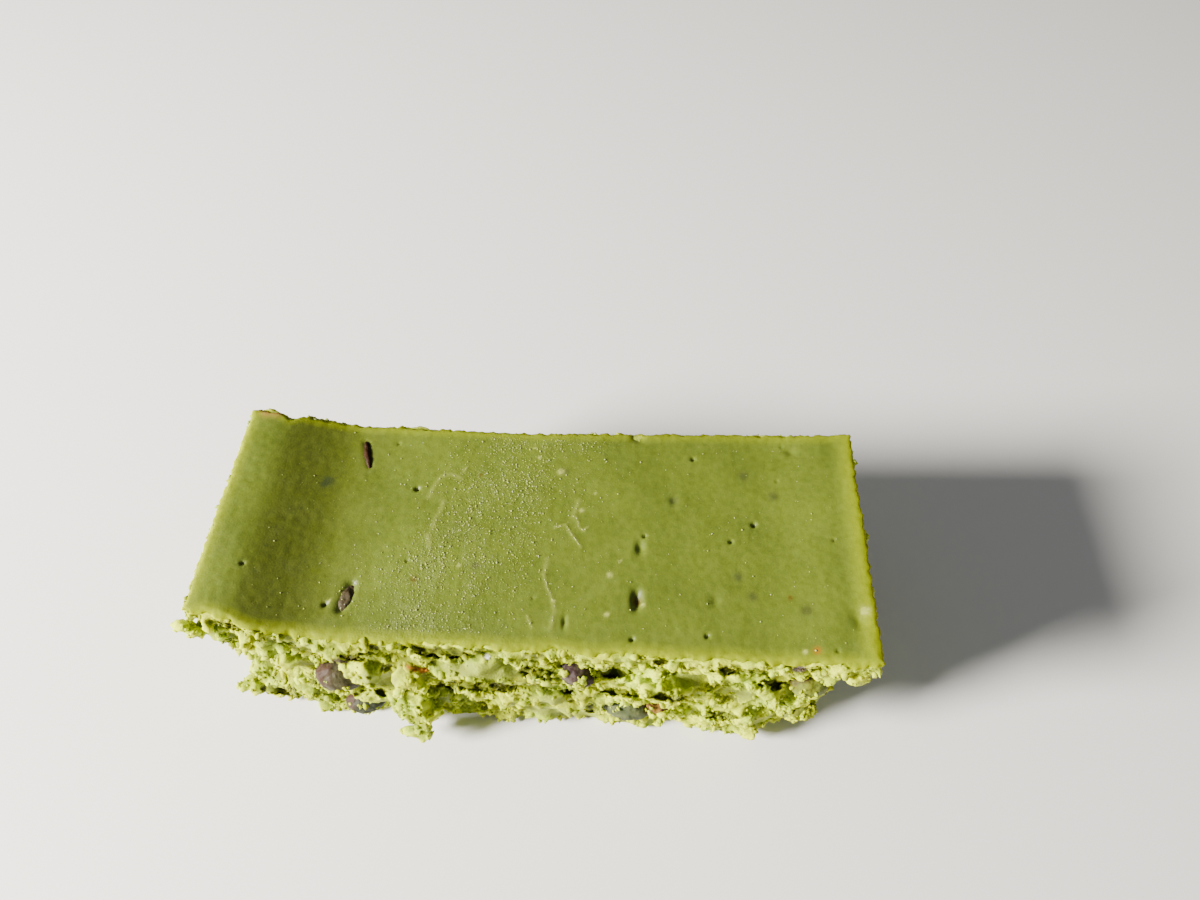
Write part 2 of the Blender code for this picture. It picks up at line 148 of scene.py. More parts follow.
# %% A helper that wires nodes
class Shader:
    """A small helper round one material's node tree."""

    def __init__(self, name):
        self.material = bpy.data.materials.new(name)
        self.material.use_nodes = True
        self.tree = self.material.node_tree
        self.principled = self.tree.nodes["Principled BSDF"]
        self.place = self.tree.nodes.new("ShaderNodeTexCoord").outputs["Object"]

    def set(self, **values):
        """Constant values go straight on the shader's own sockets."""
        for name, value in values.items():
            self.principled.inputs[name.replace("_", " ")].default_value = value

    def link(self, output, socket):
        """Drives one socket of the shader from a node."""
        self.tree.links.new(output, self.principled.inputs[socket])

    def noise(self, millimetres, detail=3.0, roughness=0.55):
        """Noise whose lumps are about this many millimetres across."""
        node = self.tree.nodes.new("ShaderNodeTexNoise")
        node.inputs["Scale"].default_value = 1 / (millimetres * MM)
        node.inputs["Detail"].default_value = detail
        node.inputs["Roughness"].default_value = roughness
        self.tree.links.new(self.place, node.inputs["Vector"])
        return node.outputs["Fac"]

    def attribute(self, name, output="Fac"):
        """A number or a colour that the mesh carries at each point."""
        node = self.tree.nodes.new("ShaderNodeAttribute")
        node.attribute_name = name
        return node.outputs[output]

    def ramp(self, source, stops):
        """A ramp of greys or colours, as position and value pairs."""
        node = self.tree.nodes.new("ShaderNodeValToRGB")
        elements = node.color_ramp.elements
        while len(elements) < len(stops):
            elements.new(0.5)
        for element, (position, value) in zip(elements, stops):
            element.position = position
            colour = value if isinstance(value, tuple) else (value, value, value)
            element.color = (*colour, 1)
        self.tree.links.new(source, node.inputs["Fac"])
        return node.outputs["Color"]

    def mix(self, factor, first, second, blend="MIX"):
        """Mixes two colours; a factor or a colour may be a plain value."""
        node = self.tree.nodes.new("ShaderNodeMix")
        node.data_type = "RGBA"
        node.blend_type = blend
        sockets = [s for s in node.inputs if s.enabled]
        for socket, value in zip(sockets, (factor, first, second)):
            if isinstance(value, bpy.types.NodeSocket):
                self.tree.links.new(value, socket)
            elif isinstance(value, tuple):
                socket.default_value = (*value, 1)
            else:
                socket.default_value = value
        return next(s for s in node.outputs if s.enabled)

    def flecked(self, colour):
        """The colour with the mesh's own flecks over it."""
        return self.mix(self.attribute("fleck", "Alpha"), colour, self.attribute("fleck", "Color"))

    def math(self, operation, first, second):
        """One sum on two numbers."""
        node = self.tree.nodes.new("ShaderNodeMath")
        node.operation = operation
        for socket, value in zip(node.inputs, (first, second)):
            if isinstance(value, bpy.types.NodeSocket):
                self.tree.links.new(value, socket)
            else:
                socket.default_value = value
        return node.outputs["Value"]

    def bump(self, height, millimetres):
        """Fine relief of this depth."""
        node = self.tree.nodes.new("ShaderNodeBump")
        node.inputs["Distance"].default_value = millimetres * MM
        node.inputs["Strength"].default_value = 1.0
        self.tree.links.new(height, node.inputs["Height"])
        return node.outputs["Normal"]


print("shader helper ready")

# %% [markdown]
# ## The torn crumb
# Baked cheesecake is a wet, fine-grained foam. Light goes a millimetre or two into it, so thin
# rims and small crumbs glow yellow-green, and deep gaps turn dark olive. The crumb's colour
# also carries painted shade and painted light: its tone follows a height that the mesh carries,
# dark olive in the gaps and pale on the tips, which a texture alone couldn't know. Each tone is
# written with the place on the ramp where it stands.

# %% Crumb material
SCATTER, LIGHT_IN_CRUMB, DULL_SHINE = (1.9, 1.6, 0.5), 0.6, 0.12
# The ramp runs from the painted shade of deep gaps to the painted light of tips that stand out.
CRUMB_TONES = (
    (0.05, (0.100, 0.110, 0.001)), (0.42, (0.23, 0.265, 0.005)), (0.95, (0.60, 0.67, 0.010)),
)
COOL_PATCHES = ((0.40, (1.0, 1.0, 1.0)), (0.66, (0.78, 0.91, 2.2)))
SMEARED_CRUMB, SMEAR_COVER, SHADED_EXTRA = (0.25, 0.29, 0.042), 0.7, (0.0, 0.012, 0.032)
MOTTLE_SIZE, MOTTLE, COOL_SIZE = 0.6, 0.5, 4.0
CRUMB_ROUGHNESS, CRUMB_SHEEN_SIZE = ((0.35, 0.35), (0.6, 0.7)), 1.3
CRUMB_GRAIN, CRUMB_RELIEF = 0.28, 0.16


def crumb_material():
    """Torn crumb: painted shade in the gaps, painted light where it stands out, greyer where smeared."""
    shader = Shader("torn_crumb")
    shader.set(Subsurface_Weight=0.3, Subsurface_Radius=SCATTER, Subsurface_Scale=LIGHT_IN_CRUMB * MM)
    shader.set(Specular_IOR_Level=DULL_SHINE)
    centred = shader.math("SUBTRACT", shader.noise(MOTTLE_SIZE), 0.5)
    mottle = shader.math("MULTIPLY", centred, MOTTLE)
    # Painted shade in gaps and painted light on tips come in through this tone number, with a little random
    # mottle.
    tone = shader.ramp(shader.math("ADD", shader.attribute("tone_and_shade"), mottle), CRUMB_TONES)
    cool = shader.ramp(shader.noise(COOL_SIZE), COOL_PATCHES)
    toned = shader.mix(1.0, tone, cool, "MULTIPLY")
    cover = shader.math("MULTIPLY", shader.attribute("smear"), SMEAR_COVER)
    flecked = shader.flecked(shader.mix(cover, toned, SMEARED_CRUMB))
    shader.link(shader.mix(shader.attribute("shaded"), flecked, SHADED_EXTRA, "ADD"), "Base Color")
    shader.link(shader.ramp(shader.noise(CRUMB_SHEEN_SIZE), CRUMB_ROUGHNESS), "Roughness")
    shader.link(shader.bump(shader.noise(CRUMB_GRAIN, detail=4.0, roughness=0.7), CRUMB_RELIEF), "Normal")
    return shader.material


CRUMB = crumb_material()
print("crumb tones:", len(CRUMB_TONES))

# %% [markdown]
# ## The baked skin
# The oven dried the top to a satin film. Where it curls up at the left end and tilts away from
# the lamp, a band of painted shade makes it olive. At the rim, where light glows through the thin
# skin, and at the right end, which faces the lamp, painted light makes it pale, and glints and
# scratches get painted highlights. A painted picture would blur close up, so noise in true sizes
# gives the drift of tone, and masks that the mesh carries say where.

# %% Skin material
SKIN_DRIFT = ((0.3, (0.094, 0.125, 0.011)), (0.7, (0.128, 0.167, 0.015)))
# The olive is painted shade for the band where the left end curls away from the lamp, the pale rim colour is
# painted light, and the pale line colour paints highlights on glints and scratches.
SHADED_SKIN, LIT_RIM_SKIN, GLINT_COLOUR = (0.062, 0.074, 0.004), (0.23, 0.27, 0.0), (0.42, 0.46, 0.10)
SKIN_FRECKLE = ((0.35, (0.85, 0.86, 0.80)), (0.6, (1.0, 1.0, 1.0)))
SKIN_ROUGHNESS, RIM_ROUGHER = ((0.3, 0.34), (0.7, 0.52)), 0.35
DRIFT_SIZE, FRECKLE_SIZE, SKIN_SHEEN_SIZE = 9.0, 0.7, 2.2
SKIN_GRAIN, SKIN_RELIEF, DRY_GRAIN = 0.24, 0.09, 0.35
LIGHT_IN_SKIN, SKIN_SHINE = 0.8, 0.3


def skin_material():
    """The baked skin: satin, finely pitted, with painted shade in its band, painted light at its rim and
    painted highlights on glints.
    """
    shader = Shader("baked_skin")
    shader.set(Subsurface_Weight=0.4, Subsurface_Radius=SCATTER, Subsurface_Scale=LIGHT_IN_SKIN * MM)
    inner = shader.math("SUBTRACT", 1.0, shader.attribute("rim"))
    shader.link(shader.math("MULTIPLY", inner, SKIN_SHINE), "Specular IOR Level")
    drift = shader.ramp(shader.noise(DRIFT_SIZE, detail=2.0), SKIN_DRIFT)
    # Painted shade: the band where the left end curls away from the lamp.
    banded = shader.mix(shader.attribute("shade_band"), drift, SHADED_SKIN)
    # Painted light: the rim, where light glows through the thin skin, and the right end facing the lamp.
    rimmed = shader.mix(shader.attribute("rim"), banded, LIT_RIM_SKIN)
    freckle = shader.ramp(shader.noise(FRECKLE_SIZE, detail=2.0), SKIN_FRECKLE)
    flecked = shader.flecked(shader.mix(1.0, rimmed, freckle, "MULTIPLY"))
    # Painted highlights on small glints and along the lit edges of the scratches.
    shader.link(shader.mix(shader.attribute("painted_glint"), flecked, GLINT_COLOUR), "Base Color")
    rough = shader.ramp(shader.noise(SKIN_SHEEN_SIZE), SKIN_ROUGHNESS)
    torn = shader.math("MULTIPLY", shader.attribute("rim"), RIM_ROUGHER)
    shader.link(shader.math("ADD", rough, torn), "Roughness")
    wet = shader.math("ADD", shader.attribute("wet"), DRY_GRAIN)
    grain = shader.math("MULTIPLY", shader.noise(SKIN_GRAIN, roughness=0.65), wet)
    shader.link(shader.bump(grain, SKIN_RELIEF), "Normal")
    return shader.material


SKIN = skin_material()
print("skin roughness", [rough for _, rough in SKIN_ROUGHNESS])

# %% [markdown]
# ## The beans' skins and insides
# Cooked red beans are dark and nearly matt, with purple skin left at one tip, and pale green
# inside. They differ in their two tones alone, so one function makes the material of each
# kind, from its base, its blotches and its tip.

# %% Bean materials
BLOTCH_SIZE, BEAN_GRAIN, BEAN_RELIEF, LIGHT_IN_BEAN = 1.3, 0.35, 0.08, 0.4
BEAN_ROUGHNESS, BASE_AT, BLOTCH_AT = 0.55, 0.38, 0.62


def bean_material(name, base, blotch, tip):
    """A moist bean: two tones in soft blotches, and darker skin left at one tip."""
    shader = Shader(name)
    shader.set(Subsurface_Weight=0.1, Subsurface_Radius=SCATTER, Subsurface_Scale=LIGHT_IN_BEAN * MM)
    shader.set(Roughness=BEAN_ROUGHNESS, Specular_IOR_Level=DULL_SHINE)
    tone = shader.ramp(shader.noise(BLOTCH_SIZE), [(BASE_AT, base), (BLOTCH_AT, blotch)])
    shader.link(shader.mix(shader.attribute("tip"), tone, tip), "Base Color")
    shader.link(shader.bump(shader.noise(BEAN_GRAIN), BEAN_RELIEF), "Normal")
    return shader.material


PURPLE_TIP = (0.040, 0.020, 0.011)
DARK_BEAN = bean_material("dark_bean", (0.040, 0.034, 0.015), (0.064, 0.058, 0.026), PURPLE_TIP)
BLUE_BEAN = bean_material("blue_bean", (0.024, 0.028, 0.016), (0.040, 0.045, 0.024), PURPLE_TIP)
GREY_BEAN = bean_material("grey_bean", (0.050, 0.062, 0.026), (0.09, 0.105, 0.040), PURPLE_TIP)
GREEN_BEAN = bean_material("green_bean", (0.12, 0.135, 0.010), (0.17, 0.20, 0.03), (0.035, 0.014, 0.007))
RED_SKIN = bean_material("red_skin", (0.026, 0.013, 0.013), (0.070, 0.052, 0.040), PURPLE_TIP)
RUSTY_SKIN = bean_material("rusty_skin", (0.060, 0.022, 0.010), (0.26, 0.14, 0.03), (0.05, 0.02, 0.02))
HUSK_SKIN = bean_material("husk_skin", (0.020, 0.008, 0.002), (0.034, 0.013, 0.004), (0.014, 0.006, 0.002))
MAUVE_BEAN = bean_material("mauve_bean", (0.032, 0.022, 0.008), (0.052, 0.040, 0.020), (0.024, 0.015, 0.005))
print("materials:", len(bpy.data.materials))

# %% [markdown]
# ## The line of the top
# The skin follows the pan: it curls up at the left end, where it clung to the wall, and a
# little at the right. The long sides aren't quite straight, because a knife cut one and the
# crumb tore along the other. These few functions give the height and the two long rims, which
# a traced curve would hold less exactly. Each rise is written as its amount, where it starts,
# and over how many millimetres it runs.

# %% Rim lines and height in millimetres
LENGTH, FRONT, BACK, HEIGHT = 80.8, 16.1, 15.0, 27.0
LEFT_CURL, RIGHT_RISE, RIGHT_LIP = (2.5, 25, 14), (0.8, 27, 12), (0.35, 36.8, 3)
WAVE_HEIGHT, WAVE_LONG, WAVE_DEEP, WAVE_LAYER = 0.12, 13, 11, 4.0
WOBBLE, WOBBLE_LONG, WOBBLE_LAYER = 0.35, 5, 9.0
CORNER_CUT, CORNER_RISE = 1.4, (1, -38, 8)
BACK_FLARE, NOTCH_DEPTH, NOTCH_X, NOTCH_WIDTH = (1.5, -10, 42), 0.8, -34.9, 1.0
OCTAVES = 3


def smooth_step(value):
    """Runs from 0 to 1 with level ends."""
    held = np.clip(value, 0.0, 1.0)
    return held * held * (3 - 2 * held)


def rise(value, amount, start, run):
    """Grows to this amount with level ends, from a start and over a run."""
    return amount * smooth_step((value - start) / run)


def noise_at(places):
    """Smooth noise at each of these vectors."""
    return np.array([noise.noise(place) for place in places])


def fractal_at(places, drop=1.0, finer=2.0):
    """Noise with finer and weaker noise on top, at each of these vectors."""
    return np.array([noise.fractal(place, drop, finer, OCTAVES) for place in places])


def noise_over(x, y, long, deep, layer):
    """Smooth noise over places, with lumps of this size in millimetres; takes arrays or numbers."""
    flat = zip(np.ravel(x), np.ravel(y))
    return noise_at(Vector((a / long, b / deep, layer)) for a, b in flat).reshape(np.shape(x))


def top_height(x, y):
    """Height of the skin over a place; takes arrays or numbers."""
    right_end = rise(x, *RIGHT_RISE) + rise(x, *RIGHT_LIP)
    waves = WAVE_HEIGHT * noise_over(x, y, WAVE_LONG, WAVE_DEEP, WAVE_LAYER)
    return HEIGHT + rise(-x, *LEFT_CURL) + right_end + waves


def front_line(x):
    """Distance of the front rim from the middle line."""
    wobble = WOBBLE * noise_over(x, 0 * x, WOBBLE_LONG, 1, WOBBLE_LAYER)
    return FRONT - CORNER_CUT * (1 - rise(x, *CORNER_RISE)) + wobble


def back_line(x):
    """Distance of the back rim from the middle line, with its notch."""
    notch = NOTCH_DEPTH * np.exp(-((x - NOTCH_X) / NOTCH_WIDTH) ** 2)
    return BACK + rise(x, *BACK_FLARE) - notch


print("middle height", round(float(top_height(0.0, 0.0)), 2), "mm")

# %% [markdown]
# ## Joined copies
# The crumb, its grains and the dew are thousands of small copies. An object for each would
# choke the scene, so their points and triangles are worked out as arrays and written into one
# mesh at a time. The helpers here go from arrays to meshes and back.

# %% Arrays into meshes
def mesh_from_arrays(name, points, triangles):
    """Writes joined copies as one mesh, from their points in metres and their triangles."""
    mesh = bpy.data.meshes.new(name)
    mesh.vertices.add(len(points))
    mesh.vertices.foreach_set("co", np.asarray(points, np.float32).ravel())
    mesh.loops.add(triangles.size)
    mesh.loops.foreach_set("vertex_index", triangles.astype(np.int32).ravel())
    mesh.polygons.add(len(triangles))
    mesh.polygons.foreach_set("loop_start", np.arange(0, triangles.size, 3, dtype=np.int32))
    mesh.update(calc_edges=True)
    mesh.validate()
    return mesh


def arrays_of(mesh):
    """A mesh's points in metres and its triangles."""
    mesh.calc_loop_triangles()
    points = np.empty(len(mesh.vertices) * 3, np.float32)
    mesh.vertices.foreach_get("co", points)
    triangles = np.empty(len(mesh.loop_triangles) * 3, np.int32)
    mesh.loop_triangles.foreach_get("vertices", triangles)
    return points.reshape(-1, 3), triangles.reshape(-1, 3)


def points_and_normals(mesh):
    """A mesh's points in metres and the way out of each."""
    points = np.empty(len(mesh.vertices) * 3, np.float32)
    normals = np.empty(len(mesh.vertices) * 3, np.float32)
    mesh.vertices.foreach_get("co", points)
    mesh.vertex_normals.foreach_get("vector", normals)
    return points.reshape(-1, 3), normals.reshape(-1, 3)


def new_object(name, mesh, *materials):
    """Links a finished mesh as a piece at the origin."""
    made = bpy.data.objects.new(name, mesh)
    bpy.context.collection.objects.link(made)
    for material in materials:
        mesh.materials.append(material)
    return made


def dress(piece, node):
    """Shades a piece smooth, hides the node that it replaces and hangs it under the root body."""
    piece.data.shade_smooth()
    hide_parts(node)
    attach(piece, "root")
    return piece


def settled(piece):
    """Applies a piece's modifiers to its mesh."""
    graph = bpy.context.evaluated_depsgraph_get()
    mesh = bpy.data.meshes.new_from_object(piece.evaluated_get(graph))
    old = piece.data
    piece.modifiers.clear()
    piece.data = mesh
    bpy.data.meshes.remove(old)
    return piece


print("array helpers ready")

# %% [markdown]
# ## The core of the crumb
# Torn cheesecake is clumps of clumps: soft grains hold together in lumps, and lumps hold
# together in a wall. The wall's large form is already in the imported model, with its undercut
# and its hanging clumps. So a copy of that model is merged, remeshed and softened, and it
# becomes the core that the lumps sit on.

# %% The softened core
CORE_VOXEL, SKIN_CLEARANCE, MERGE_DISTANCE = 0.55, 0.35, 1e-6
SOFTEN, SOFTEN_ROUNDS = 0.5, 6


def mesh_of(bm, name):
    """Turns a working mesh into a kept one, and frees the first."""
    mesh = bpy.data.meshes.new(name)
    bm.to_mesh(mesh)
    bm.free()
    return mesh


def merged_copy(node, name):
    """A copy of a node's mesh, with its doubled points merged."""
    bm = bmesh.new()
    bm.from_mesh(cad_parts[node].data)
    bmesh.ops.remove_doubles(bm, verts=bm.verts, dist=MERGE_DISTANCE)
    return mesh_of(bm, name)


def softened_core():
    """A merged copy of the model's body, remeshed and smoothed, with its top lowered."""
    core = new_object("core", merged_copy("cheesecake", "core"))
    remesh = core.modifiers.new("Fuse", "REMESH")
    remesh.mode = "VOXEL"
    remesh.voxel_size = CORE_VOXEL * MM
    smooth = core.modifiers.new("Soften", "SMOOTH")
    smooth.factor = SOFTEN
    smooth.iterations = SOFTEN_ROUNDS
    settled(core)
    points, _ = arrays_of(core.data)
    local = points / MM - SHIFT
    limit = top_height(local[:, 0], local[:, 1]) - SKIN_CLEARANCE
    points[:, 2] = np.minimum(points[:, 2], limit * MM)
    core.data.vertices.foreach_set("co", points.ravel())
    return core


CORE = softened_core()
print("core faces", len(CORE.data.polygons))

# %% [markdown]
# ## Balls of crumb
# A lump of curd is a ball that noise has pushed out of round. A handful of such balls is enough,
# as each copy is turned, squashed and sized at random. Working with whole arrays of copies takes
# a moment, where a loop over objects would take minutes.

# %% Balls of crumb
BALL_LUMPS = 1.8


def ball_shapes(subdivisions, count, unevenness, seed):
    """A few uneven unit balls to copy from, as arrays."""
    shapes = []
    for index in range(count):
        bm = bmesh.new()
        bmesh.ops.create_icosphere(bm, subdivisions=subdivisions, radius=1)
        for vert in bm.verts:
            vert.co *= 1 + unevenness * noise.noise(vert.co * BALL_LUMPS + Vector((seed, index, 0)))
        bmesh.ops.triangulate(bm, faces=bm.faces)
        points = np.array([vert.co[:] for vert in bm.verts], np.float32)
        triangles = np.array([[vert.index for vert in face.verts] for face in bm.faces], np.int32)
        shapes.append((points, triangles))
        bm.free()
    return shapes


def random_turns(draw, count):
    """Evenly spread rotation matrices."""
    quaternions = draw.normal(size=(count, 4))
    quaternions /= np.linalg.norm(quaternions, axis=1, keepdims=True)
    w, x, y, z = quaternions.T
    return np.stack([
        np.stack([1 - 2 * (y * y + z * z), 2 * (x * y - z * w), 2 * (x * z + y * w)], -1),
        np.stack([2 * (x * y + z * w), 1 - 2 * (x * x + z * z), 2 * (y * z - x * w)], -1),
        np.stack([2 * (x * z - y * w), 2 * (y * z + x * w), 1 - 2 * (x * x + y * y)], -1),
    ], axis=1).astype(np.float32)


def strew(shapes, centres, radii, draw, flatten=0.25):
    """Copies of the shapes at these centres and radii in millimetres, joined into one array."""
    centres, radii = centres.astype(np.float32), radii.astype(np.float32)
    turns = random_turns(draw, len(centres))
    squash = 1 + flatten * draw.uniform(-1, 1, size=(len(centres), 1, 3)).astype(np.float32)
    points, triangles, start = [], [], 0
    kinds = draw.integers(0, len(shapes), len(centres))
    for kind, (ball, faces) in enumerate(shapes):
        chosen = np.nonzero(kinds == kind)[0]
        if not len(chosen):
            continue
        scaled = ball[None] * squash[chosen] * radii[chosen, None, None]
        placed = np.einsum("nij,nkj->nki", turns[chosen], scaled) + centres[chosen, None]
        points.append(placed.reshape(-1, 3) * MM)
        offsets = start + np.arange(len(chosen))[:, None, None] * len(ball)
        triangles.append((faces[None] + offsets).reshape(-1, 3))
        start += len(chosen) * len(ball)
    return np.concatenate(points), np.concatenate(triangles)


def strewn_piece(name, shapes, centres, radii, draw, flatten, material):
    """The joined copies as one piece, and the places of its points."""
    points, triangles = strew(shapes, centres, radii, draw, flatten)
    return new_object(name, mesh_from_arrays(name, points, triangles), material), points


print("smallest ball:", len(ball_shapes(1, 1, 0.0, 0.0)[0][1]), "faces")

# %% [markdown]
# ## Places on the sides
# Lumps and grains lie on the torn sides only, and as thick on large faces as on small ones. A
# scatter by points would crowd them where the mesh is fine. So faces are drawn in proportion
# to their area, and a place is drawn at random inside each.

# %% Places spread over the sides
LEAST_AREA, SIDE_SLOPE = 1e-9, 0.9


def side_samples(mesh, count, draw, low=0.6, top_gap=0.5):
    """Places in millimetres spread evenly over a mesh's sides, with the way out of each."""
    points, triangles = arrays_of(mesh)
    corners = points[triangles] / MM
    cross = np.cross(corners[:, 1] - corners[:, 0], corners[:, 2] - corners[:, 0])
    area = np.linalg.norm(cross, axis=1)
    normal = cross / np.maximum(area, LEAST_AREA)[:, None]
    middle = corners.mean(axis=1)
    local = middle - SHIFT
    under_skin = middle[:, 2] < top_height(local[:, 0], local[:, 1]) - top_gap
    side = (np.abs(normal[:, 2]) < SIDE_SLOPE) & (middle[:, 2] > low) & under_skin
    weight = area * side
    chosen = draw.choice(len(triangles), size=count, p=weight / weight.sum())
    mixing = draw.dirichlet((1, 1, 1), size=count)
    places = (corners[chosen] * mixing[..., None]).sum(axis=1)
    return places, normal[chosen]


print("sides have normals within", SIDE_SLOPE, "of level")

# %% [markdown]
# ## Marks of the tear
# A tear isn't even. In places a lump pulled away and left a hollow, whose dark is partly painted
# shade, and clumps that stand out get painted light. In others the knife smeared the crumb flat,
# and a few specks have a colour of their own, save one white speck that is a painted highlight.
# Each mark is a soft ellipse on the front, given as the eye of the camera sees it: middle and half
# sizes along the bar and up it. Each set of marks starts with how ragged its rims are. Hollows go
# deeper along the line of sight, so they keep their place in the picture. Over the beans the crumb
# is cleared a little, so that they show.

# %% Hollows, smears, bright clumps and flecks of the front
FRONT_PLANE, FRONT_FROM, FRONT_FADE = -16.0, -10.5, 1.5
MARK_LAYER, MARK_SCALE, MARK_REACH, MARK_FADE, FLECK_RAGGED = 7.0, 0.9, 1.25, 0.6, 0.9
# Hollows are pushed in, and their dark is partly painted shade.
HOLLOWS = (1.2, (
    (-33.1, 29.4, 1.9, 1.2), (-37.1, 23.4, 1.7, 1.3), (-34.5, 8.0, 2.4, 2.0), (-21.7, 21.7, 1.4, 1.0),
    (-10.5, 24.9, 3.2, 1.7), (-9.2, 13.9, 3.0, 1.9), (-3.9, 14.0, 2.0, 1.5), (-0.4, 20.4, 0.9, 2.0),
    (-18.0, 25.7, 0.9, 0.9), (-13.7, 26.4, 0.9, 0.9), (-20.5, 9.9, 0.8, 1.6), (1.2, 20.0, 2.1, 2.0),
    (9.9, 21.3, 1.9, 1.9), (11.0, 14.6, 2.4, 1.4), (4.2, 14.2, 0.8, 1.1), (7.3, 8.2, 0.9, 1.6),
    (15.2, 25.9, 0.9, 1.2), (23.6, 24.0, 2.0, 1.6), (28.7, 20.2, 1.6, 1.7), (24.2, 7.9, 2.0, 1.6),
    (16.8, 14.0, 2.0, 1.4), (33.2, 25.8, 0.8, 0.9),
))
SMEARS = (0.5, (
    (-6.2, 19.4, 5.4, 2.6), (-20.0, 14.7, 2.5, 2.9), (18.7, 20.0, 2.0, 2.6), (25.7, 15.8, 1.7, 2.1),
    (2.1, 10.5, 2.0, 1.9), (31.2, 19.6, 0.8, 2.6), (2.9, 5.8, 5.4, 2.0),
))
# Clumps are drawn out and lightened with painted light.
BRIGHT_CLUMPS = (1.0, (
    (-21.3, 17.5, 1.5, 3.6), (14.1, 18.9, 1.9, 4.6), (10.5, 12.3, 1.9, 2.4), (21.4, 13.3, 1.7, 3.2),
    (21.7, 5.0, 2.6, 2.5), (-39.6, 26.4, 1.5, 2.0), (-15.2, 2.0, 2.3, 8.0),
))
CLEARED = (0.8, (
    (-25.6, 14.9, 2.3, 3.4), (-23.3, 6.9, 1.8, 3.0), (5.8, 21.0, 1.7, 3.4), (11.4, 8.5, 2.6, 1.9),
    (15.7, 10.0, 1.5, 2.6), (33.3, 19.8, 1.2, 1.6),
))
FLECKS = (
    ((0.30, 0.10, 0.0), ((-14.8, 19.2, 0.9, 1.1), (-13.7, 18.6, 0.8, 0.9))),
    # The near-white fleck is a painted highlight.
    ((0.90, 0.90, 0.72), ((-5.1, 24.5, 0.35, 1.2),)),
    ((0.15, 0.11, 0.085), ((31.1, 25.8, 0.8, 1.0),)),
    ((0.045, 0.032, 0.010), ((-23.4, 20.2, 1.1, 0.9), (-21.9, 21.2, 0.9, 0.8))),
)


def seen_place(points):
    """Where the camera sees points, given in millimetres, on the plane of the front."""
    eye = np.array(EYE)
    share = (FRONT_PLANE - eye[1]) / (points[:, 1] - SHIFT[1] - eye[1])
    across = eye[0] + share * (points[:, 0] - SHIFT[0] - eye[0])
    return across, eye[2] + share * (points[:, 2] - eye[2])


def mark_mask(points, marks):
    """1 inside the ellipses and 0 outside, with a ragged rim, on the front only."""
    ragged, ellipses = marks
    across, up = seen_place(points)
    mask = np.zeros(len(points))
    wobble = fractal_at(Vector((a, b, MARK_LAYER)) * MARK_SCALE for a, b in zip(across, up))
    for middle_x, middle_z, half_x, half_z in ellipses:
        reach = ((across - middle_x) / half_x) ** 2 + ((up - middle_z) / half_z) ** 2
        mask = np.maximum(mask, smooth_step((MARK_REACH - reach + ragged * wobble) / MARK_FADE))
    return mask * smooth_step((FRONT_FROM - points[:, 1] + SHIFT[1]) / FRONT_FADE)


def flecks_at(points):
    """Colour of the flecks at each point, and how much of it, on the front only."""
    flecks = np.zeros((len(points), 4))
    for colour, ellipses in FLECKS:
        amount = mark_mask(points, (FLECK_RAGGED, ellipses))
        flecks[amount > flecks[:, 3], :3] = colour
        flecks[:, 3] = np.maximum(flecks[:, 3], amount)
    return flecks


def line_of_sight(points):
    """The way from the camera to each point."""
    way = points - SHIFT - np.array(EYE)
    return way / np.linalg.norm(way, axis=1, keepdims=True)


print("marks of the tear:", sum(len(marks[1]) for marks in (HOLLOWS, SMEARS, BRIGHT_CLUMPS, CLEARED)))

# %% [markdown]
# ## Fusing the lumps
# Sculpting a torn wall by hand would take days, and a bump texture alone looks flat from the
# side. Clusters of balls over the core give real overhangs and gaps, and one voxel remesh
# fuses them as the real batter did. The ends and the back were cut clean under the skin, so
# no ball may stand out there. Five balls are listed one by one: they are the small lobe that
# hangs past the rim at the front left corner.

# %% Strew clusters and fuse them
CLUSTERS, BALLS_EACH, LONE_BALLS = 900, 9, 4200
BODY_VOXEL, BODY_TRIANGLES = 0.27, 190000
CLUSTER_SIZE, CLUSTER_EXTRA, CLUSTER_SUNK = 0.6, 1.2, (-0.85, -0.05)
BALL_SPREAD, BALL_LEVEL, BALL_SHARE, LEAST_BALL = 0.45, 0.7, (0.35, 0.62), 0.4
LONE_SIZE, LONE_EXTRA, LONE_SUNK = 0.38, 0.35, (-0.6, 0.3)
CUT_HEIGHT, BALL_TOP, SKIN_GAP, BASE_GAP, BOX_ROOM = 2.5, 0.9, 0.1, 0.05, 0.3
CORNER_LOBE = (
    (-41.5, -15.0, 26.4, 0.65), (-40.9, -15.2, 26.7, 0.75), (-40.3, -15.1, 26.0, 0.8),
    (-39.7, -15.4, 25.3, 0.8), (-40.8, -14.6, 25.4, 0.7),
)


def cluster_balls(draw):
    """Clusters: each a handful of balls round one place on the torn sides."""
    places, ways = side_samples(CORE.data, CLUSTERS, draw)
    size = CLUSTER_SIZE + CLUSTER_EXTRA * draw.random(CLUSTERS) ** 2.0
    middles = places + ways * (size * draw.uniform(*CLUSTER_SUNK, CLUSTERS))[:, None]
    spread = draw.normal(size=(CLUSTERS, BALLS_EACH, 3)) * BALL_SPREAD * size[:, None, None]
    spread[..., 2] *= BALL_LEVEL
    centres = (middles[:, None] + spread).reshape(-1, 3)
    shares = draw.uniform(*BALL_SHARE, (CLUSTERS, BALLS_EACH))
    return centres, np.maximum(LEAST_BALL, size[:, None] * shares).ravel()


def lone_balls(draw):
    """Single lumps over everything, mostly small."""
    places, ways = side_samples(CORE.data, LONE_BALLS, draw)
    radii = LONE_SIZE + LONE_EXTRA * draw.random(LONE_BALLS) ** 3
    return places + ways * (radii * draw.uniform(*LONE_SUNK, LONE_BALLS))[:, None], radii


